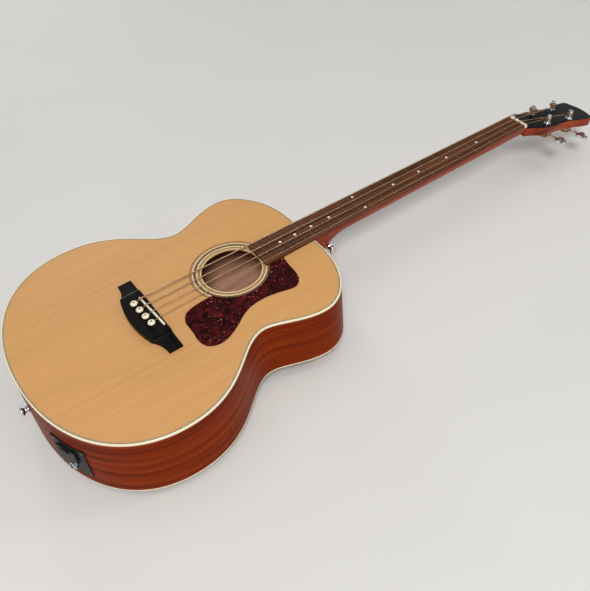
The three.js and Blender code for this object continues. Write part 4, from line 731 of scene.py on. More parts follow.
# Pickguard: 0.9 mm of tortoiseshell-coloured plastic, dark red with brighter flecks under a polished face,
# cut to follow the soundhole's rings and stuck to the lacquer.
guard_length, guard_width, guard_ahead_of_hole, guard_from_centre = 198, 92, 80.8, 30
guard_ring_radius, guard_thickness, guard_from_board, guard_steps = 61.5, 0.9, 0.3, 60
fret_count, board_past_last_fret, board_width_at_nut, board_width_at_end = 23, 13.4, 43, 58
board_length = fret_distance(fret_count) + board_past_last_fret
guard_edge = (
    (0.015, 0.2), (0.023, 0.44), (0.045, 0.59), (0.09, 0.695), (0.14, 0.71), (0.19, 0.685),
    (0.285, 0.63), (0.39, 0.6), (0.495, 0.62), (0.585, 0.695), (0.68, 0.83), (0.775, 0.945),
    (0.855, 0.995), (0.915, 0.985), (0.965, 0.925), (0.993, 0.81), (1, 0.67), (0.992, 0.54),
    (0.99, 0.39), (0.986, 0.25), (0.955, 0.12), (0.912, 0.05), (0.836, 0.012), (0.765, 0),
)


def board_half(x):
    return (board_width_at_nut + (board_width_at_end - board_width_at_nut) * (-x / board_length)) / 2


def spline_through(points, steps):
    """A smooth line through points, which leaves each along the line between its neighbours."""
    line = []
    for i in range(len(points) - 1):
        before, here = points[max(i - 1, 0)], points[i]
        ahead, beyond = points[i + 1], points[min(i + 2, len(points) - 1)]
        for s in range(steps):
            t = s / steps
            leave, arrive = (ahead - before) * 0.5, (beyond - here) * 0.5
            line.append(
                (here * 2 - ahead * 2 + leave + arrive) * t ** 3
                + (ahead * 3 - here * 3 - leave * 2 - arrive) * t ** 2 + leave * t + here
            )
    return line + [points[-1]]


guard_front = hole_x + guard_ahead_of_hole
guard_start = Vector((guard_front, -board_half(guard_front) - guard_from_board))
guard_points = [guard_start] + [
    Vector((guard_front - along * guard_length, -guard_from_centre - across * guard_width))
    for along, across in guard_edge
]
guard_loop = spline_through(guard_points, 6)
first_angle = math.pi + math.asin(guard_from_centre / guard_ring_radius)
last_angle = 2 * math.pi - math.asin((board_half(-board_length) + guard_from_board) / guard_ring_radius)
for k in range(guard_steps + 1):
    angle = first_angle + (last_angle - first_angle) * k / guard_steps
    guard_loop.append(Vector((
        hole_x + guard_ring_radius * math.cos(angle), guard_ring_radius * math.sin(angle),
    )))
tortoise_look = new_look("tortoise_plastic", "3a0a0b", 0.18, coat=0.12, coat_roughness=0.05, specular=0.1)
tortoise_tree = tortoise_look.node_tree
tortoise_swirl = cloudy(tortoise_tree, 42, 5, 0.62, 1.6)
tortoise_fleck = cloudy(tortoise_tree, (150, 105, 90), 4, 0.6, 2.2, (0, 0, 0.5))
tortoise_speck = cloudy(tortoise_tree, (260, 240, 200), 2, 0.5, 0.6)
tortoise_colour = stops(
    tortoise_tree, tortoise_swirl, (0.34, "0f0203"), (0.47, "250406"), (0.58, "42090c"), (0.72, "641610"),
)
for marks, start, end, colour in (
    (tortoise_fleck, 0.59, 0.72, "9a3022"), (tortoise_speck, 0.665, 0.715, "b4695a"),
):
    shares = stops(tortoise_tree, marks, (start, 0.0), (end, 1.0))
    tortoise_colour = mixed(tortoise_tree, shares, tortoise_colour, paint(colour))
finish_with(tortoise_look, tortoise_colour, None, cloudy(tortoise_tree, 18, 2), 0.00004, 0.15)
guard = shown("pickguard_plate", plate([guard_loop], 0, guard_thickness), tortoise_look)
fitted(rounded(guard, 0.35), "root", "pickguard_tortoise", "pickguard")


# Bridge: one block of ebonised wood, glued to the top, with a belly behind and wings that are scooped down
# from its middle. It is slotted for the saddle and bored for the pins.
bridge_front, bridge_span, bridge_middle, bridge_offset = saddle_line_x + 6.8, 172, 103, -5.5
wing_depth, middle_depth, bridge_belly = 23, 34.5, 16
bridge_height, wing_height, tip_height, bridge_scoop = 9.5, 4.5, 3.8, 8
saddle_slant, saddle_thickness, saddle_span, saddle_offset = math.radians(3.3), 3, 74, -8
saddle_slot_depth, pin_bore, bridge_cut = 5, 3.1, 12
pin_from_saddle, pin_row_offset, pin_spacing = 13, -3.5, 17.4
string_slot_start, string_slot_end, string_slot_half = 2, 5.4, 1.5
string_names = "EADG"
ebony_look = wood(
    "oiled_black_wood", "151210", "0c0a09", "050404",
    grain=(120, 5, 160), pores=(900, 45, 900), figure=(14, 3, 14), roughness=0.32, specular=0.1,
)


def saddle_x(y):
    return saddle_line_x - y * math.tan(saddle_slant)


def share_at(y, start, bend, end):
    """How far along a quadratic bend from a start to an end its distance is y."""
    way = 1 if end > start else -1
    low, high = 0.0, 1.0
    for _ in range(30):
        s = (low + high) / 2
        at = start * (1 - s) ** 2 + 2 * s * (1 - s) * bend + s * s * end
        low, high = (s, high) if (at - y) * way < 0 else (low, s)
    return s


def bridge_rear(y):
    """How far back the bridge reaches at a distance from its middle."""
    wing, rear = bridge_front - wing_depth, bridge_front - middle_depth
    middle, half = bridge_middle / 2, bridge_span / 2
    if y <= middle:
        t = (1 - y / middle) / 2
        return rear - 2 * bridge_belly * t * (1 - t)
    s = share_at(y, half, middle + (half - middle) * 0.4, middle)
    return wing * (1 - s * s) + s * s * rear


def bridge_top(y):
    middle, half = bridge_middle / 2, bridge_span / 2
    foot = middle + bridge_scoop
    if y <= middle:
        return bridge_height
    if y < foot:
        s = share_at(y, middle, middle + bridge_scoop / 4, foot)
        return bridge_height * (1 - s) ** 2 + wing_height * (2 * s * (1 - s) + s * s)
    return wing_height - (wing_height - tip_height) * (y - foot) / (half - foot)


def quarter(steps):
    """Angles over a quarter turn."""
    return [math.pi / 2 * k / steps for k in range(steps + 1)]


bridge_half = bridge_span / 2
bridge_ease, edge_ease = 0.9, 1.1
stations = [bridge_half - bridge_ease * (1 - math.cos(a)) for a in quarter(4)]
stations += [bridge_half - bridge_ease - k for k in range(1, 24)]
stations += [bridge_middle / 2 + bridge_scoop - 0.5 * k for k in range(0, 20)]
stations += [k * 2.5 for k in range(19, -1, -1)]
stations = sorted(set(round(s, 3) for s in stations))
rings = []
for y in [-s for s in reversed(stations)] + stations[1:]:
    span = abs(y)
    near_tip = max(0.0, span - (bridge_half - bridge_ease)) / bridge_ease
    drop = bridge_ease * (1 - math.sqrt(max(0.0, 1 - near_tip ** 2)))
    top = bridge_top(span) - drop
    ease = min(edge_ease, top / 2)
    front, rear = bridge_front - drop * 0.5, bridge_rear(span) + drop * 0.5
    ring = [(front, 0)]
    ring += [(front - ease * (1 - math.cos(a)), top - ease * (1 - math.sin(a))) for a in quarter(4)]
    ring += [(rear + ease * (1 - math.sin(a)), top - ease * (1 - math.cos(a))) for a in quarter(4)]
    ring += [(rear, 0)]
    rings.append([(x, y + bridge_offset, z) for x, z in ring])
bridge_piece = shown("bridge_block", loft(rings), ebony_look)
pin_places = [pin_row_offset + (1.5 - i) * pin_spacing for i in range(4)]
pin_spots = [Vector((saddle_x(y) - pin_from_saddle, y, 0)) for y in pin_places]
cutters = [plate([circle(spot, pin_bore, 32)], 1, bridge_cut) for spot in pin_spots]
slot_at = Matrix.Translation((saddle_x(saddle_offset), saddle_offset, 0))
slot_turn = slot_at @ Matrix.Rotation(saddle_slant, 4, "Z")
slot_half = saddle_thickness / 2 + 0.08
slot_loop = rectangle(-slot_half, slot_half, saddle_span / 2 + 0.15)
cutters.append(plate([slot_loop], bridge_height - saddle_slot_depth, bridge_cut, slot_turn))
string_slot = rectangle(string_slot_start, string_slot_end, string_slot_half)
for spot in pin_spots:
    cutters.append(plate([[spot.xy + corner for corner in string_slot]], 2, bridge_cut))
fitted(carved(bridge_piece, *cutters), "root", "ebony", "bridge")


# Saddle and pins: the saddle is a bar of bleached bone with its top rounded, slanted to help the low strings
# play in tune. The pins are turned from cream plastic with a dark dot, and wedge the strings' ball ends under
# the top.
saddle_top = (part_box("saddle")[1].z - face_z) / MM
pin_stand, pin_length, pin_stem = 0.5, 22, 2.7


def let_in(look, weight, *depths):
    """Lets a share of the light into a look, to its own depth in metres for red, green and blue."""
    shader = look.node_tree.nodes["Principled BSDF"]
    shader.inputs["Subsurface Weight"].default_value = weight
    shader.inputs["Subsurface Radius"].default_value = depths


bone_look = new_look("bleached_bone", "efe6d2", 0.4, coat=0.1)
bone_tree = bone_look.node_tree
let_in(bone_look, 0.15, 0.002, 0.0012, 0.0008)
bone_marks = cloudy(bone_tree, (300, 40, 300), 4)
bone_tone = stops(bone_tree, bone_marks, (0.35, "d9c9a6"), (0.5, "efe6d2"), (0.8, "f7f1e2"))
finish_with(bone_look, bone_tone, spread(bone_tree, cloudy(bone_tree, 200), 0.32, 0.5),
            cloudy(bone_tree, (700, 90, 700), 3), 0.00002, 0.4)
rings = []
half = saddle_thickness / 2
saddle_foot = bridge_height - saddle_slot_depth + 0.1
for y in [-saddle_span / 2 + d for d in (0, 0.3, 1.0)] + [saddle_span / 2 - d for d in (1.0, 0.3, 0)]:
    close = max(0.0, 1 - (saddle_span / 2 - abs(y))) ** 2
    narrow = half * (1 - 0.2 * close)
    crown = [math.pi * k / 8 for k in range(9)]
    ring = [(narrow * math.cos(a), y, saddle_top - half + half * math.sin(a) - 0.8 * close) for a in crown]
    rings.append([(narrow, y, saddle_foot), *ring, (-narrow, y, saddle_foot)])
fitted(shown("saddle_bar", loft(rings, slot_turn), bone_look), "root", "bone", "saddle")


def bend_at(p, q, r, t):
    return p * (1 - t) ** 2 + q * (2 * t * (1 - t)) + r * t * t


def eased(corners, bend, steps):
    """A path with its corners rounded."""
    path = [corners[0]]
    for before, here, after in zip(corners, corners[1:], corners[2:]):
        start = here.lerp(before, min(bend / (here - before).length, 0.45))
        end = here.lerp(after, min(bend / (here - after).length, 0.45))
        path += [bend_at(start, here, end, k / steps) for k in range(steps + 1)]
    return path + [corners[-1]]


def turned_mesh(profile, matrix, sides=40, ease=0.3):
    """A piece turned on a lathe: its profile is a list of radius and height along its own Z."""
    angles = [2 * math.pi * k / sides for k in range(sides)]
    rings = [
        [(max(r, 0.0) * math.cos(a), max(r, 0.0) * math.sin(a), z) for a in angles]
        for r, z in eased([Vector(place) for place in profile], ease, 3)
    ]
    return loft(rings, matrix, capped=False)


def turned(name, profile, matrix, look, sides, ease, body, slot, *nodes):
    """A turned piece, fitted to its body."""
    return fitted(shown(name, turned_mesh(profile, matrix, sides, ease), look, 50), body, slot, *nodes)


pin_look = varied(
    "pin_plastic", "ece0c4", 0.28, ((90,), "e2d3b0", "f2e9d2"), ((260,), 0.22, 0.36), ((600,), 0.00001, 0.3),
    coat=0.4, coat_roughness=0.08,
)
let_in(pin_look, 0.1, 0.002, 0.0015, 0.001)
pin_profile = [
    (0, -pin_length), (1.3, -pin_length), (2.2, -pin_length + 2.2), (pin_stem, -0.2), (2.9, 0),
    (5.6, 0.1), (5.85, 0.9), (5.6, 2.1), (4.6, 3.05), (3.1, 3.65), (1.6, 3.9), (0, 3.92),
]
dot_profile = [(0, 3.5), (1.5, 3.5), (1.5, 4.0), (1.2, 4.08), (0, 4.1)]
for name, spot in zip(string_names, pin_spots):
    stand = Matrix.Translation((spot.x, spot.y, bridge_height + pin_stand))
    node = f"bridge_pin_{name}"
    turned(f"{node}_turned", pin_profile, stand, pin_look, 40, 0.3, "root", "pin_cream", node)
    turned(f"{node}_dot", dot_profile, stand, dark_line_look, 24, 0.1, "root", "pin_cream")


# Neck: one piece of mahogany with a heel that swells down to the back and a headstock set back at an angle.
# The heel's tenon is glued into the neck block.
neck_angle, head_tilt = math.radians(0.85), math.radians(14.3)
head_step, head_length, head_thickness, veneer = 2.1, 192, 17, 1.5
nut_thickness = 5.5
neck_at_nut, neck_at_heel, heel_depth, heel_length, heel_cap, heel_pinch = 20, 23, 92, 75, 20, 0.42


def neck_top(x):
    return -math.tan(neck_angle) * (x - joint_x) if x > joint_x else 0.0


def neck_ring(x, top, depth, half, pinch, steps=36):
    ring = []
    for k in range(steps + 1):
        angle = math.pi * k / steps
        c, s = math.cos(angle), max(math.sin(angle), 0.0)
        width = half * math.copysign(abs(c) ** (0.85 - 0.25 * pinch), c) * (1 - pinch * s * s)
        ring.append((x, width, top - depth * s ** 0.85))
    return ring


def neck_section(x):
    start, end = joint_x + heel_length, joint_x + heel_cap
    share = min(max((start - x) / (start - end), 0), 1)
    swell = 1 - math.sqrt(1 - share * share)
    along = min(max(-x / (-joint_x - heel_length), 0), 1)
    shaft = neck_at_nut + (neck_at_heel - neck_at_nut) * along
    top = neck_top(x)
    depth = shaft + (heel_depth + top - shaft) * swell
    return neck_ring(x, top, depth, board_half(min(x, 0)) - 0.1, heel_pinch * share)


head_slope = math.tan(head_tilt)
head_run, half_at_nut = head_thickness * 2, board_width_at_nut / 2 - 0.1
head_top = neck_top(nut_thickness) - head_step - veneer
rings = []
for x in (head_run, head_run * 0.75, head_run / 2, nut_thickness + 0.1):
    top = head_top - 0.1 - head_slope * (x - nut_thickness)
    rings.append(neck_ring(x, top, top - neck_top(0) + neck_at_nut, half_at_nut, 0))
rings.append(neck_ring(nut_thickness, neck_top(nut_thickness), neck_at_nut, half_at_nut, 0))
heel_start = joint_x + heel_length
rings += [neck_section(heel_start * k / 12) for k in range(12)]
rings += [neck_section(heel_start - (heel_length - heel_cap) * math.sin(a)) for a in quarter(28)]
rings.append(neck_section(joint_x + 0.1))
neck_piece = shown("neck_shaft", loft(rings), mahogany_look)

head_origin = Matrix.Translation((nut_thickness, 0, neck_top(nut_thickness) - head_step))
to_head = head_origin @ Matrix.Rotation(head_tilt, 4, "Y")


def joined(piece, look, *meshes):
    """Joins plain meshes to a piece, and gives the whole one look."""
    carved(piece, *meshes, operation="UNION")
    piece.data.shade_smooth()
    piece.data.set_sharp_from_angle(angle=math.radians(40))
    piece.data.materials.clear()
    piece.data.materials.append(look)
    return piece


def taken(piece):
    """A piece's mesh, with the piece taken out of the scene."""
    mesh = piece.data.copy()
    bpy.data.objects.remove(piece)
    return mesh


post_spots = {"E": (61, 20.5), "A": (125, 22), "D": (125, -22), "G": (61, -20.5)}
bushing_radius, bushing_play = 5.6, 0.15


def head_loops(start_at=None):
    """The headstock's outline, waisted between the posts and flared to a crowned tip, and its bores."""
    start, flare, scoop, top = board_width_at_nut / 2, 32, 28.5, 35.5
    a, b, c, crown = 54, 106, 178, 8
    half = []
    bends = (
        (Vector((0, start)), Vector((a * 0.4, start)), Vector((a * 0.55, flare)), Vector((a, flare))),
        (Vector((a, flare)), Vector((a * 1.4, flare)), Vector((b * 0.8, scoop)), Vector((b, scoop))),
        (Vector((b, scoop)), Vector((b * 1.3, scoop)), Vector((c * 0.86, top)), Vector((c, top))),
    )
    for bend in bends:
        half += [bezier(*bend, k / 16) for k in range(16)]
    corner = (Vector((c, top)), Vector((c + crown, top)), Vector((c + crown, top * 0.75)))
    crest = (corner[2], Vector((head_length, top * 0.3)), Vector((head_length, 0)))
    for p, q, r in (corner, crest):
        half += [bend_at(p, q, r, k / 10) for k in range(10)]
    half.append(Vector((head_length, 0)))
    if start_at is not None:
        half = [Vector((max(p.x, start_at), p.y)) for p in half]
    outline = [Vector((p.x, -p.y)) for p in half] + half[-2::-1]
    return [outline] + [circle(spot, bushing_radius + bushing_play, 32) for spot in post_spots.values()]


slab = shown("slab", plate(head_loops(), -head_thickness, -veneer - seam, to_head), mahogany_look)
joined(neck_piece, mahogany_look, taken(rounded(slab, 1.6, 4, 60)))
fitted(neck_piece, "root", "mahogany", "neck")


# Headstock veneer: a 1.5 mm plate of wood, sprayed black and polished until it mirrors the posts. It has the
# headstock's outline and starts behind the nut.
black_gloss_look = varied(
    "black_gloss_veneer", "0b0b0c", 0.12, ((40,), "060607", "0e0c0d"), (((25, 120, 25), 5), 0.1, 0.24),
    (((12, 60, 12), 2), 0.00003, 0.12), specular=0.07,
)
veneer_loops = head_loops(0.3 + veneer * head_slope)
veneer_piece = shown("headstock_veneer", plate(veneer_loops, -veneer, 0, to_head), black_gloss_look)
fitted(rounded(veneer_piece, 0.35, 3, 60), "root", "black_veneer", "headstock_face")


# Fingerboard: rosewood, cambered to a 400 mm radius, with pearl dots let in between the frets and smaller
# ones on its bass edge. It is glued to the neck and runs on over the top to the soundhole.
board_thickness, board_radius, board_ease, board_corner, board_sides = 4.8, 400, 0.25, 0.5, 16
rosewood_look = wood(
    "oiled_rosewood", "7a4424", "55301a", "2a140b",
    grain=(3.2, 300, 200), pores=(26, 900, 900), figure=(5, 30, 20), roughness=0.42, pore_depth=0.00008,
    specular=0.3,
)


def board_top(x):
    return board_thickness - math.tan(neck_angle) * (x - joint_x)


def camber(y):
    return board_radius - math.sqrt(board_radius ** 2 - y * y)


rings = []
for x in [-0.05] + [-board_length * k / 24 for k in range(1, 24)] + [-board_length]:
    half = board_half(x)
    bottom = neck_top(x) + (0.1 if x > joint_x else 0.02)
    corner = board_top(x) - camber(half) - board_corner
    ring = [(x, half, bottom), (x, half, corner)]
    for k in range(board_sides + 1):
        y = half - 2 * half * k / board_sides
        ease = board_ease if k in (0, board_sides) else 0.0
        ring.append((x, y * (1 - ease / half), board_top(x) - camber(y)))
    rings.append([*ring, (x, -half, corner), (x, -half, bottom)])
board_piece = shown("fingerboard_plank", loft(rings), rosewood_look, 30)
fitted(board_piece, "root", "rosewood", "fingerboard")


# Frets: nickel-silver wire, domed, pressed into slots at the places where the string's length is divided by
# the twelfth root of two, and filed flush with the board's edges.
fret_height, fret_wire, fret_inset = 1.1, 0.95, 0.3
nickel_look = varied(
    "nickel_silver", "a39d92", 0.3, ((60,), "877a69", "a2937f"), (((900, 60, 300), 3), 0.24, 0.42),
    (((900, 90, 900), 2), 0.000008, 0.4), metallic=1.0,
)
fret_tree, given = new_tree(
    "frets", Count="Int", Scale_length="Float", Board_length="Float", Nut_width="Float", End_width="Float",
    Inset="Float", Rise="Float", Slope="Float", Radius="Float", Wire="Float", Look="Material",
)


def tube_in(tree, path, sides, radius, look_socket):
    """Ends a tree with a round tube along its path."""
    ring = add_node(tree, "GeometryNodeCurvePrimitiveCircle", {"Resolution": sides, "Radius": radius})
    sockets = {"Curve": path, "Profile Curve": ring, "Fill Caps": True}
    end_tree(tree, add_node(tree, "GeometryNodeCurveToMesh", sockets), look_socket)


def fret_math(operation, first, second=0.0):
    return worked(fret_tree, operation, first, second)


number = fret_math("ADD", add_node(fret_tree, "GeometryNodeInputIndex"), 1.0)
left = fret_math("POWER", 2.0, fret_math("DIVIDE", number, -12.0))
distance = fret_math("MULTIPLY", given["Scale_length"], fret_math("SUBTRACT", 1.0, left))
widening = fret_math("SUBTRACT", given["End_width"], given["Nut_width"])
widening = fret_math("MULTIPLY", widening, fret_math("DIVIDE", distance, given["Board_length"]))
fret_half = fret_math("MULTIPLY", fret_math("ADD", given["Nut_width"], widening), 0.5)
fret_half = fret_math("SUBTRACT", fret_half, given["Inset"])
fret_rise = fret_math("ADD", given["Rise"], fret_math("MULTIPLY", distance, given["Slope"]))
back = fret_math("MULTIPLY", distance, -1.0)
fret_at = add_node(fret_tree, "ShaderNodeCombineXYZ", {0: back, 2: fret_rise})
fret_points = add_node(fret_tree, "GeometryNodePoints", {"Count": given["Count"], "Position": fret_at})
fret_line = add_node(fret_tree, "GeometryNodeCurvePrimitiveLine", {"Start": (0, -1, 0), "End": (0, 1, 0)})
fret_line = add_node(fret_tree, "GeometryNodeResampleCurve", {"Curve": fret_line, "Count": 21})
fret_scale = add_node(fret_tree, "ShaderNodeCombineXYZ", {0: 1.0, 1: fret_half, 2: 1.0})
sockets = {"Points": fret_points, "Instance": fret_line, "Scale": fret_scale}
fret_wires = add_node(fret_tree, "GeometryNodeInstanceOnPoints", sockets)
fret_wires = add_node(fret_tree, "GeometryNodeRealizeInstances", {0: fret_wires})
fret_place = add_node(fret_tree, "GeometryNodeInputPosition")
across = add_node(fret_tree, "ShaderNodeSeparateXYZ", {0: fret_place}).outputs["Y"]
inner = fret_math("SUBTRACT", fret_math("POWER", given["Radius"], 2.0), fret_math("MULTIPLY", across, across))
fall = fret_math("SUBTRACT", fret_math("SQRT", inner), given["Radius"])
fret_offset = add_node(fret_tree, "ShaderNodeCombineXYZ", {2: fall})
fret_bent = add_node(fret_tree, "GeometryNodeSetPosition", {"Geometry": fret_wires, "Offset": fret_offset})
tube_in(fret_tree, fret_bent, 16, given["Wire"], given["Look"])
slope = math.tan(neck_angle)
fret_base = placed("frets", bpy.data.meshes.new("frets"))
fret_piece = grown(
    "fret_wires", fret_base, fret_tree, "root", "rod_steel", Count=fret_count,
    Scale_length=scale_length * MM, Board_length=board_length * MM, Nut_width=board_width_at_nut * MM,
    End_width=board_width_at_end * MM, Inset=fret_inset * MM, Rise=(board_thickness + slope * joint_x) * MM,
    Slope=slope, Radius=board_radius * MM, Wire=fret_wire * MM, Look=nickel_look, smooth_angle=50,
)
fret_piece.data.transform(Matrix.Translation((nut_x, 0, face_z)))


# Position dots and screws: each is one small turned or slotted piece, set on a list of places with the way
# that it faces. The dots are pearl plastic, glued in and sanded flush.
set_tree, given = new_tree("set_in_place", Piece="Object", Spin="Float", Look="Material")
set_lean = add_node(set_tree, "GeometryNodeInputNamedAttribute", {"Name": "facing"}, data_type="FLOAT_VECTOR")
set_turn = add_node(set_tree, "FunctionNodeAlignRotationToVector", {"Vector": set_lean}, axis="Z")
set_spin = add_node(set_tree, "FunctionNodeRandomValue", {"Max": given["Spin"], "Seed": 7}, data_type="FLOAT")
spin_out = next(s for s in set_spin.outputs if s.type == "VALUE" and s.enabled)
set_euler = add_node(set_tree, "ShaderNodeCombineXYZ", {2: spin_out})
sockets = {"Rotation": set_turn, "Rotate By": set_euler}
set_rotate = add_node(set_tree, "FunctionNodeRotateRotation", sockets, rotation_space="LOCAL")
set_piece = add_node(set_tree, "GeometryNodeObjectInfo", {"Object": given["Piece"]}).outputs["Geometry"]
sockets = {"Points": given["Geometry"], "Instance": set_piece, "Rotation": set_rotate}
end_tree(set_tree, add_node(set_tree, "GeometryNodeInstanceOnPoints", sockets), given["Look"])


def set_in_place(name, pattern_mesh, places, body, slot, look, spin=0.0, matrix=Matrix.Identity(4)):
    """Sets copies of a small mesh, drawn in metres, at places in millimetres that each face a way."""
    spots = bpy.data.meshes.new(name)
    spots.from_pydata([to_frame @ matrix @ Vector(at) for at, _ in places], [], [])
    facing = spots.attributes.new("facing", "FLOAT_VECTOR", "POINT")
    for item, (_, way) in zip(facing.data, places):
        item.vector = (matrix.to_3x3() @ Vector(way)).normalized()
    tool = placed("pattern", pattern_mesh)
    piece = grown(name, placed(name, spots), set_tree, body, slot, Piece=tool, Spin=spin, Look=look)
    bpy.data.objects.remove(tool)
    return piece


def small_turned(profile, sides=24, ease=0.05):
    """A small turned mesh at the origin, in metres."""
    return about_origin(turned_mesh(profile, Matrix.Identity(4), sides, ease))


pearl_look = new_look("pearl_dots", "e6e2d8", 0.2, coat=0.6, coat_roughness=0.08)
pearl_tree = pearl_look.node_tree
pearl_shine = stops(
    pearl_tree, cloudy(pearl_tree, (260, 420, 200), 4, 0.6, 1.5),
    (0.35, "cfc9bd"), (0.48, "efece4"), (0.58, "d8dcd6"), (0.7, "f5f1e9"),
)
finish_with(pearl_look, pearl_shine, spread(pearl_tree, cloudy(pearl_tree, 300), 0.14, 0.3),
            cloudy(pearl_tree, 400), 0.00001, 0.3)
marked_frets, octave_fret, dot_aside = (3, 5, 7, 9, 12, 15, 17, 19, 21), 12, 18
edge_dot_aside, edge_dot_drop = 3.5, 2.4
dot_places, edge_dots = [], []
for n in marked_frets:
    x = -(fret_distance(n - 1) + fret_distance(n)) / 2
    for y in ((-dot_aside, dot_aside) if n == octave_fret else (0,)):
        dot_places.append(((x, y, board_top(x) - camber(y)), (slope, y / board_radius, 1)))
    for shift in ((-edge_dot_aside, edge_dot_aside) if n == octave_fret else (0,)):
        edge_dots.append(((x + shift, board_half(x + shift), board_top(x) - edge_dot_drop), (0, 1, 0)))
dot_mesh = small_turned([(0, -0.6), (2.4, -0.6), (2.4, 0.04), (2.3, 0.05), (0, 0.05)], 40)
set_in_place("position_dots", dot_mesh, dot_places, "root", "rosewood", pearl_look)
edge_dot_mesh = small_turned([(0, -0.6), (1.0, -0.6), (1.0, 0.05), (0, 0.05)])
set_in_place("edge_dots", edge_dot_mesh, edge_dots, "root", "rosewood", pearl_look)


# Nut: a bar of bleached bone glued against the end of the board, rounded over towards the headstock and
# polished, with a slot filed for each string. The slots follow the strings, so their runs are settled here.
string_diameters = (2.55, 2.05, 1.65, 1.2)
spacing_at_nut, string_dip, string_tail, bend_length = 11.6, 3, 7, 2.2
winding_turns, winding_gap, winding_start, post_radius = 2, 0.5, 7, 4
saddle_gap, nut_slot_gap, nut_round, winding_play = 0.3, 0.15, 1.6, 0.3
nut_string_bottom = board_top(0) + fret_height + 0.5
pin_play, slot_sides, turn_steps = 0.3, 20, 48


def string_run(i):
    """One string's corners, from under its pin over the saddle to the nut, and its turns round the post."""
    radius = string_diameters[i] / 2
    spot = pin_spots[i]
    slot_x = spot.x + pin_stem + 2 * pin_play + radius
    low_end = [Vector((slot_x, spot.y, bridge_height - drop)) for drop in (string_tail, string_dip)]
    nut_point = Vector((nut_thickness / 2, (1.5 - i) * spacing_at_nut, nut_string_bottom + radius))
    saddle_point = Vector((saddle_x(spot.y), spot.y, saddle_top + saddle_gap + radius))
    behind = (saddle_thickness / 2 + bend_length) / (saddle_point - nut_point).length
    crest = saddle_point.lerp(nut_point, -behind)
    post_x, post_y = post_spots[string_names[i]]
    way = 1 if post_y > 0 else -1
    turn_radius = post_radius + winding_play + radius
    start_from = to_head.inverted() @ nut_point
    reach = math.hypot(post_x - start_from.x, post_y - start_from.y)
    heading = math.atan2(post_y - start_from.y, post_x - start_from.x) - way * math.asin(turn_radius / reach)
    first = heading - way * math.pi / 2
    climb = string_diameters[i] + winding_gap
    wound = []
    for k in range(winding_turns * turn_steps + 1):
        turn = k / turn_steps
        angle = first + way * turn * 2 * math.pi
        wound.append(to_head @ Vector((
            post_x + turn_radius * math.cos(angle), post_y + turn_radius * math.sin(angle),
            winding_start + climb * turn,
        )))
    wound.append(wound[-1] + (wound[-1] - wound[-2]).normalized() * 2 * string_diameters[i])
    return [*low_end, crest, nut_point], wound


nut_half = board_width_at_nut / 2
nut_low, nut_high = neck_top(0) + 0.1, (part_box("nut")[1].z - face_z) / MM
nut_edge = (0.05, 0.25, 0.8)
rings = []
for y in [inset - nut_half for inset in nut_edge] + [nut_half - inset for inset in nut_edge[::-1]]:
    drop = max(0.0, nut_edge[-1] - (nut_half - abs(y))) * 0.55
    top = nut_high - drop
    ring = [(0.05, nut_low), (0.05, top - 0.3), (0.35, top)]
    ring += [(nut_thickness - 0.05 - nut_round * (1 - math.sin(a)), top - nut_round * (1 - math.cos(a)))
             for a in quarter(6)]
    ring.append((nut_thickness - 0.05, nut_low))
    rings.append([(x, y, z) for x, z in ring])
nut_piece = shown("nut_bar", loft(rings), bone_look)
slot_cutters = []
for i in range(4):
    corners, wound = string_run(i)
    reach_back = corners[3] + (corners[2] - corners[3]).normalized() * nut_thickness
    reach_on = corners[3] + (wound[0] - corners[3]).normalized() * nut_thickness
    slot_radius = string_diameters[i] / 2 + nut_slot_gap
    slot_rings = []
    for at in eased([reach_back, corners[3], reach_on], bend_length, 6):
        ring = [at.yz + corner for corner in circle((0, 0), slot_radius, slot_sides)]
        slot_rings.append([(at.x, y, z if z < at.z else at.z + (z - at.z) * 3) for y, z in ring])
    slot_cutters.append(loft(slot_rings))
fitted(carved(nut_piece, *slot_cutters), "root", "bone", "nut")


# Strings: steel cores wound with phosphor bronze, anchored under the pins, over the saddle and the nut, and
# wound up the posts. Each is a tube on its own path.
winding_pitch = 0.0006
bronze_look = varied(
    "phosphor_bronze", "b89c84", 0.36, (((40, 300, 300),), "8a684c", "c6a27e"),
    (((30, 300, 300),), 0.28, 0.44), metallic=1.0,
)
bronze_tree = bronze_look.node_tree
along = add_node(bronze_tree, "ShaderNodeAttribute", attribute_name="along").outputs["Fac"]
wrap_wave = worked(bronze_tree, "SINE", worked(bronze_tree, "MULTIPLY", along, 2 * math.pi / winding_pitch))
finish_with(bronze_look, height=wrap_wave, depth=0.00006, strength=0.5)
string_tree, given = new_tree("wound_string", Radius="Float", Look="Material")
string_length = add_node(string_tree, "GeometryNodeSplineParameter").outputs["Length"]
sockets = {"Geometry": given["Geometry"], "Name": "along", "Value": string_length}
marked = add_node(string_tree, "GeometryNodeStoreNamedAttribute", sockets, data_type="FLOAT", domain="POINT")
tube_in(string_tree, marked, 14, given["Radius"], given["Look"])
for i, name in enumerate(string_names):
    corners, wound = string_run(i)
    path = eased([*corners, wound[0]], bend_length, 6)[:-1] + wound
    grown(
        f"string_{name}_wound", path_object(f"string_{name}", path), string_tree, "root", "string_bronze",
        f"string_{name}", Radius=string_diameters[i] / 2 * MM, Look=bronze_look, smooth_angle=60,
    )


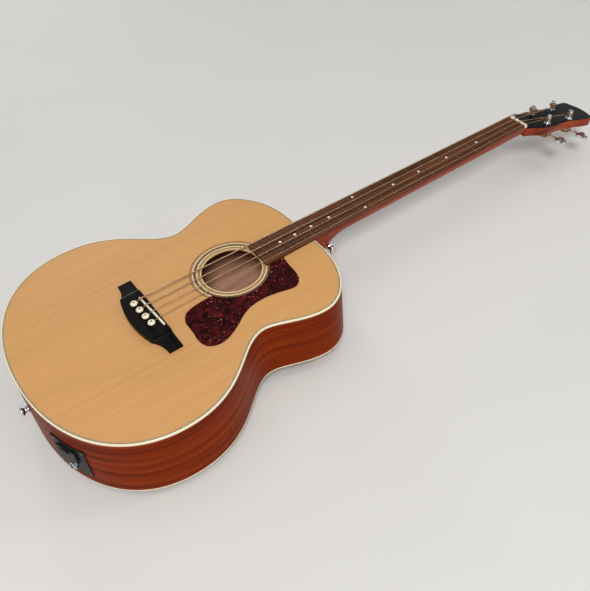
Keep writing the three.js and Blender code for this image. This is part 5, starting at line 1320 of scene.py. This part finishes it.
# Machine heads: four open-gear tuners. On each a worm on the key's shaft turns a brass gear, which turns the
# post that the string is wound on. The posts stand in bushings pressed in from the face.
chrome_look = varied(
    "polished_chrome", "cfd1d3", 0.12, ((70,), "bfc1c4", "dcdddf"), ((150, 5), 0.08, 0.2),
    ((90, 2), 0.00001, 0.15), metallic=1.0,
)
brass_look = varied(
    "gear_brass", "b58c43", 0.3, ((160,), "9a7434", "c9a058"), ((400,), 0.24, 0.42), ((900,), 0.00001, 0.4),
    metallic=1.0,
)
plate_thickness, gear_module, gear_teeth, gear_thickness = 1.6, 0.85, 20, 5
worm_pitch_radius, thread_height, thread_root, worm_thread, tip_share = 3.4, 0.72, 0.95, 0.92, 0.5
ear_gap, ear_radius, ear_thickness, stem_length = 0.5, 4.4, 2.2, 17
thread_turns, thread_steps = 3, 24
gear_radius = gear_teeth * gear_module / 2
shaft_radius = worm_pitch_radius - thread_root
worm_tip = worm_pitch_radius + thread_height
plate_back = -head_thickness - 0.3 - plate_thickness
worm_height = plate_back - worm_tip - 0.3
worm_x = gear_radius + worm_pitch_radius
gear_top = worm_height + gear_thickness / 2
gear_bottom = worm_height - gear_thickness / 2
ear_face = math.sqrt((gear_radius + thread_height) ** 2 - (worm_x - ear_radius) ** 2) + ear_gap
stem_start = ear_face + ear_thickness + 0.3
stem_end = stem_start + stem_length
leaf_radius, leaf_swell, leaf_thickness, leaf_sides = 10.5, 2.6, 5, 90
post_hole_height, post_hole_radius, post_hole_reach = 14.6, 1.3, 8
axle_profile = [
    (0, -stem_start), (shaft_radius, -stem_start), (shaft_radius, stem_start), (3.6, stem_start + 0.05),
    (3.6, stem_start + 2.6), (2.7, stem_start + 3.4), (2.9, stem_start + 4.4), (shaft_radius, stem_start + 6),
    (shaft_radius * 0.85, stem_end - 4), (shaft_radius, stem_end), (shaft_radius * 1.1, stem_end + 3),
    (0, stem_end + 3),
]
post_profile = [
    (0, gear_bottom - 1.9), (3.5, gear_bottom - 1.9), (3.8, gear_bottom - 1.5), (3.8, gear_bottom - 0.3),
    (2.6, gear_bottom - 0.3), (2.6, gear_top + 0.3), (4, gear_top + 0.3), (4, 13.0), (4.15, 15.6),
    (4.6, 16.2), (4.6, 16.7), (4.1, 17.3), (2.4, 17.3), (2.0, 17.0), (0, 17.0),
]
collar = (bushing_radius + 4.25) / 2 + 0.1
bushing_profile = [
    (4.25, -9), (5.6, -9), (5.6, 0.3), (7.0, 0.3), (7.0, 1.3), (6.1, 1.8), (collar + 0.5, 2.1), (collar, 3.0),
    (collar, 4.6), (4.25, 4.6), (4.25, -9),
]
leaf_loop = []
for k in range(leaf_sides):
    angle = 2 * math.pi * k / leaf_sides
    reach = leaf_radius + leaf_swell * math.cos(3 * angle)
    leaf_loop.append(Vector((reach * math.sin(angle), reach * math.cos(angle))))
hole_profile = [
    (0, -post_hole_reach), (post_hole_radius, -post_hole_reach), (post_hole_radius, post_hole_reach),
    (0, post_hole_reach),
]
along_key = Matrix.Rotation(-math.pi / 2, 4, "X")
screw_profile = [(0, -0.5), (1.7, -0.5), (1.7, 0.1), (1.35, 0.55), (0.7, 0.8), (0, 0.85)]
screw = shown("screw", small_turned(screw_profile, 28, 0.15), chrome_look)
slot_block = about_origin(loft([[(*corner, z) for corner in rectangle(-2.2, 2.2, 0.26)] for z in (0.3, 1.4)]))
cross_block = slot_block.copy()
cross_block.transform(Matrix.Rotation(math.pi / 2, 4, "Z"))
screw_head, screw_spin = taken(carved(screw, slot_block, cross_block)), 6.28
screw_spots = [((x, y, plate_back), (0, 0, -1)) for x in (-8.6, 17.4) for y in (-5.4, 5.4)]
base = worm_thread / 2 * (2 - tip_share)
crest = worm_thread / 2 * tip_share
thread_foot = shaft_radius - 0.3
thread_section = ((thread_foot, -base), (worm_tip, -crest), (worm_tip, crest), (thread_foot, base))
for name, (post_x, post_y) in post_spots.items():
    at_post = to_head @ Matrix.Translation((post_x, post_y, 0))
    turn_back = Matrix.Rotation(0 if post_y > 0 else math.pi, 4, "Z")
    at_worm = at_post @ Matrix.Translation((worm_x, 0, worm_height)) @ turn_back
    post = shown(f"string_post_{name}_turned", turned_mesh(post_profile, at_post, 40, 0.25), chrome_look, 50)
    hole_at = at_post @ Matrix.Translation((0, 0, post_hole_height)) @ Matrix.Rotation(math.pi / 2, 4, "Y")
    hole = turned_mesh(hole_profile, hole_at, 20, 0.01)
    fitted(carved(post, hole), f"post_{name}", "hardware_chrome", f"string_post_{name}")
    dress(f"tuner_gear_{name}", brass_look)
    turned(f"post_bushing_{name}_turned", bushing_profile, at_post, chrome_look, 48, 0.2,
           "root", "hardware_chrome", f"post_bushing_{name}")
    dress(f"tuner_plate_{name}", chrome_look)
    axle = turned_mesh(axle_profile, at_worm @ along_key, 32, 0.4)
    key = shown(f"tuner_key_{name}_cast", axle, chrome_look, 50)
    leaf_at = at_worm @ Matrix.Translation((0, stem_end + leaf_radius - leaf_swell, 0))
    leaf = shown("leaf", plate([leaf_loop], -leaf_thickness / 2, leaf_thickness / 2, leaf_at), chrome_look)
    thread_rings = []
    for k in range(thread_turns * thread_steps + 1):
        turn = k / thread_steps - thread_turns / 2
        angle = turn * 2 * math.pi + math.pi / 2
        y = turn * math.pi * gear_module
        thread_rings.append([
            turn_back @ Vector((r * math.sin(angle), y + dy, r * math.cos(angle))) for r, dy in thread_section
        ])
    joined(key, chrome_look, taken(rounded(leaf, 1.9, 6, 60)), loft(thread_rings, at_worm))
    fitted(key, f"key_{name}", "hardware_chrome", f"tuner_key_{name}")
    set_in_place(f"tuner_screws_{name}", screw_head, screw_spots, "root", "hardware_chrome", chrome_look,
                 screw_spin, at_post)


# Strap button and end pin: turned and plated buttons, each on a screw, one beside the heel and one in the
# tail block.
button_profile = [
    (0, -12), (2.4, -12), (2.4, 0), (6, 0), (6, 1.4), (4.4, 3.4), (4.0, 5.4), (5.0, 7.6), (7.3, 9.0),
    (7.5, 9.8), (7.5, 11.0), (6.6, 12), (2.4, 12), (2.0, 11.3), (0, 11.2),
]
for name, axis, turn in (
    ("strap_button", 1, Matrix.Rotation(math.pi / 2, 4, "X")),
    ("end_pin", 0, Matrix.Rotation(-math.pi / 2, 4, "Y")),
):
    low, high = [to_frame.inverted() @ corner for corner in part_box(name)]
    button_at = (low + high) / 2
    button_at[axis] = low[axis] + 12
    turned(f"{name}_turned", button_profile, Matrix.Translation(button_at) @ turn, chrome_look, 48, 0.4,
           "root", "hardware_chrome", name)


# Battery and jack housing: a black moulded plate let into the treble side near the tail, with a drawer for a
# nine-volt block above and the output jack below. Four small screws hold it to the side.
plastic_look = varied(
    "black_moulding", "101012", 0.45, ((60,), "0c0c0e", "161618"), ((500, 3), 0.38, 0.56),
    ((1500, 3), 0.00003, 0.35), specular=0.35,
)
battery_look = varied(
    "battery_case", "5b6068", 0.35, (((30, 30, 200),), "3c4048", "767b84"), ((200,), 0.26, 0.44),
    ((90,), 0.00002, 0.3), metallic=0.7,
)
for node in ("jack_housing", "battery_drawer", "control_pod"):
    dress(node, plastic_look)
dress("battery", battery_look)
slide_axis = next(joint["axis"] for joint in frame["joints"] if joint["name"] == "drawer_slide")
housing_turn = Matrix.Rotation(math.atan2(slide_axis[1], slide_axis[0]), 4, "Z")
housing_at = Matrix.Translation((*housing_spot, -housing_depth)) @ housing_turn
bpy.context.view_layer.update()
moulding = BVHTree.FromObject(frame["nodes"]["jack_housing"], bpy.context.evaluated_depsgraph_get())
outwards = (to_frame @ housing_at).to_3x3() @ Vector((1, 0, 0))
screw_aside, screw_apart, ray_from = 28, 26, 30
screw_spots = []
for y in (-screw_aside, screw_aside):
    for z in (-screw_apart, screw_apart):
        above = to_frame @ housing_at @ Vector((ray_from, y, z))
        seat, facing, _, _ = moulding.ray_cast(above, -outwards)
        local = (to_frame @ housing_at).inverted() @ seat
        screw_spots.append((local, housing_at.to_3x3().inverted() @ facing))
set_in_place(
    "housing_screws", screw_head, screw_spots, "root", "rod_steel", steel_look, screw_spin, housing_at,
)


# Output jack: a turned and threaded barrel, nickel plated, held in the housing by a hexagon nut. A
# quarter-inch plug goes in.
jack_face, jack_drop, jack_bore, jack_radius, jack_body, jack_body_end = 3.0, 19, 3.6, 5, 7, -22.3
jack_nut_height, jack_end, jack_nut_radius, thread_pitch = 2.4, 5.5, 7.5, 0.7
jack_profile = [
    (0, jack_body_end), (jack_body, jack_body_end), (jack_body, -0.3), (jack_radius, -0.3),
    (jack_radius, jack_face + jack_nut_height + 0.3),
]
for k in range(3):
    low = jack_face + jack_nut_height + 0.35 + k * thread_pitch
    jack_profile += [(jack_radius, low), (jack_radius - 0.35, low + thread_pitch / 2)]
jack_profile += [
    (jack_radius, jack_face + jack_end - 0.6), (jack_radius - 0.5, jack_face + jack_end),
    (jack_bore + 0.3, jack_face + jack_end), (jack_bore, jack_face + jack_end - 0.3),
    (jack_bore, jack_body_end + 1), (0, jack_body_end + 1),
]
jack_at = housing_at @ Matrix.Translation((0, 0, -jack_drop)) @ Matrix.Rotation(math.pi / 2, 4, "Y")
jack_piece = shown("jack_barrel", turned_mesh(jack_profile, jack_at, 48, 0.05), chrome_look, 40)
fitted(jack_piece, "root", "hardware_chrome", "output_jack")
nut_blank = shown("jack_nut", plate(
    [circle((0, 0), jack_nut_radius, 6), circle((0, 0), jack_radius + 0.02, 40)],
    jack_face, jack_face + jack_nut_height, jack_at,
), chrome_look, 20)
mill_in, mill_out = jack_nut_radius * 0.9, jack_nut_radius * 1.02
chamfer = turned_mesh([
    (0, jack_face - 1), (jack_nut_radius * 0.96, jack_face - 1), (mill_out, jack_face + 0.5),
    (mill_out, jack_face + jack_nut_height - 0.9), (mill_in, jack_face + jack_nut_height),
    (mill_in, jack_face + 4), (0, jack_face + 4),
], jack_at, 60, 0.01)
fitted(carved(nut_blank, chamfer, operation="INTERSECT"), "root", "hardware_chrome")


# Control wheels: two thumb wheels of black plastic with milled rims, on pegs of the pod under the soundhole's
# edge, where a fingertip reaches them. One sets the volume and the other the tone.
wheel_radius, wheel_thickness, wheel_teeth, wheel_tooth, peg_bore = 7.9, 3.1, 32, 0.45, 1.9
groove_profile = [(4.6, 1.1), (6.1, 1.1), (6.1, 3), (4.6, 3), (4.6, 1.1)]
for name in ("volume", "tone"):
    low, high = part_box(f"{name}_wheel")
    wheel_middle = to_frame.inverted() @ ((low + high) / 2)
    rim = []
    for k in range(wheel_teeth * 4):
        angle = 2 * math.pi * k / (wheel_teeth * 4)
        reach = wheel_radius - wheel_tooth * (0.5 - 0.5 * math.cos(wheel_teeth * angle)) ** 2
        rim.append(Vector((reach * math.cos(angle), reach * math.sin(angle))))
    wheel = shown(f"{name}_wheel_milled", plate(
        [rim, circle((0, 0), peg_bore, 24)], -wheel_thickness / 2, wheel_thickness / 2,
        Matrix.Translation(wheel_middle),
    ), plastic_look, 30)
    groove = turned_mesh(groove_profile, Matrix.Translation(wheel_middle), 48, 0.01)
    fitted(rounded(carved(wheel, groove), 0.15, 2, 50), name, "black_plastic", f"{name}_wheel")
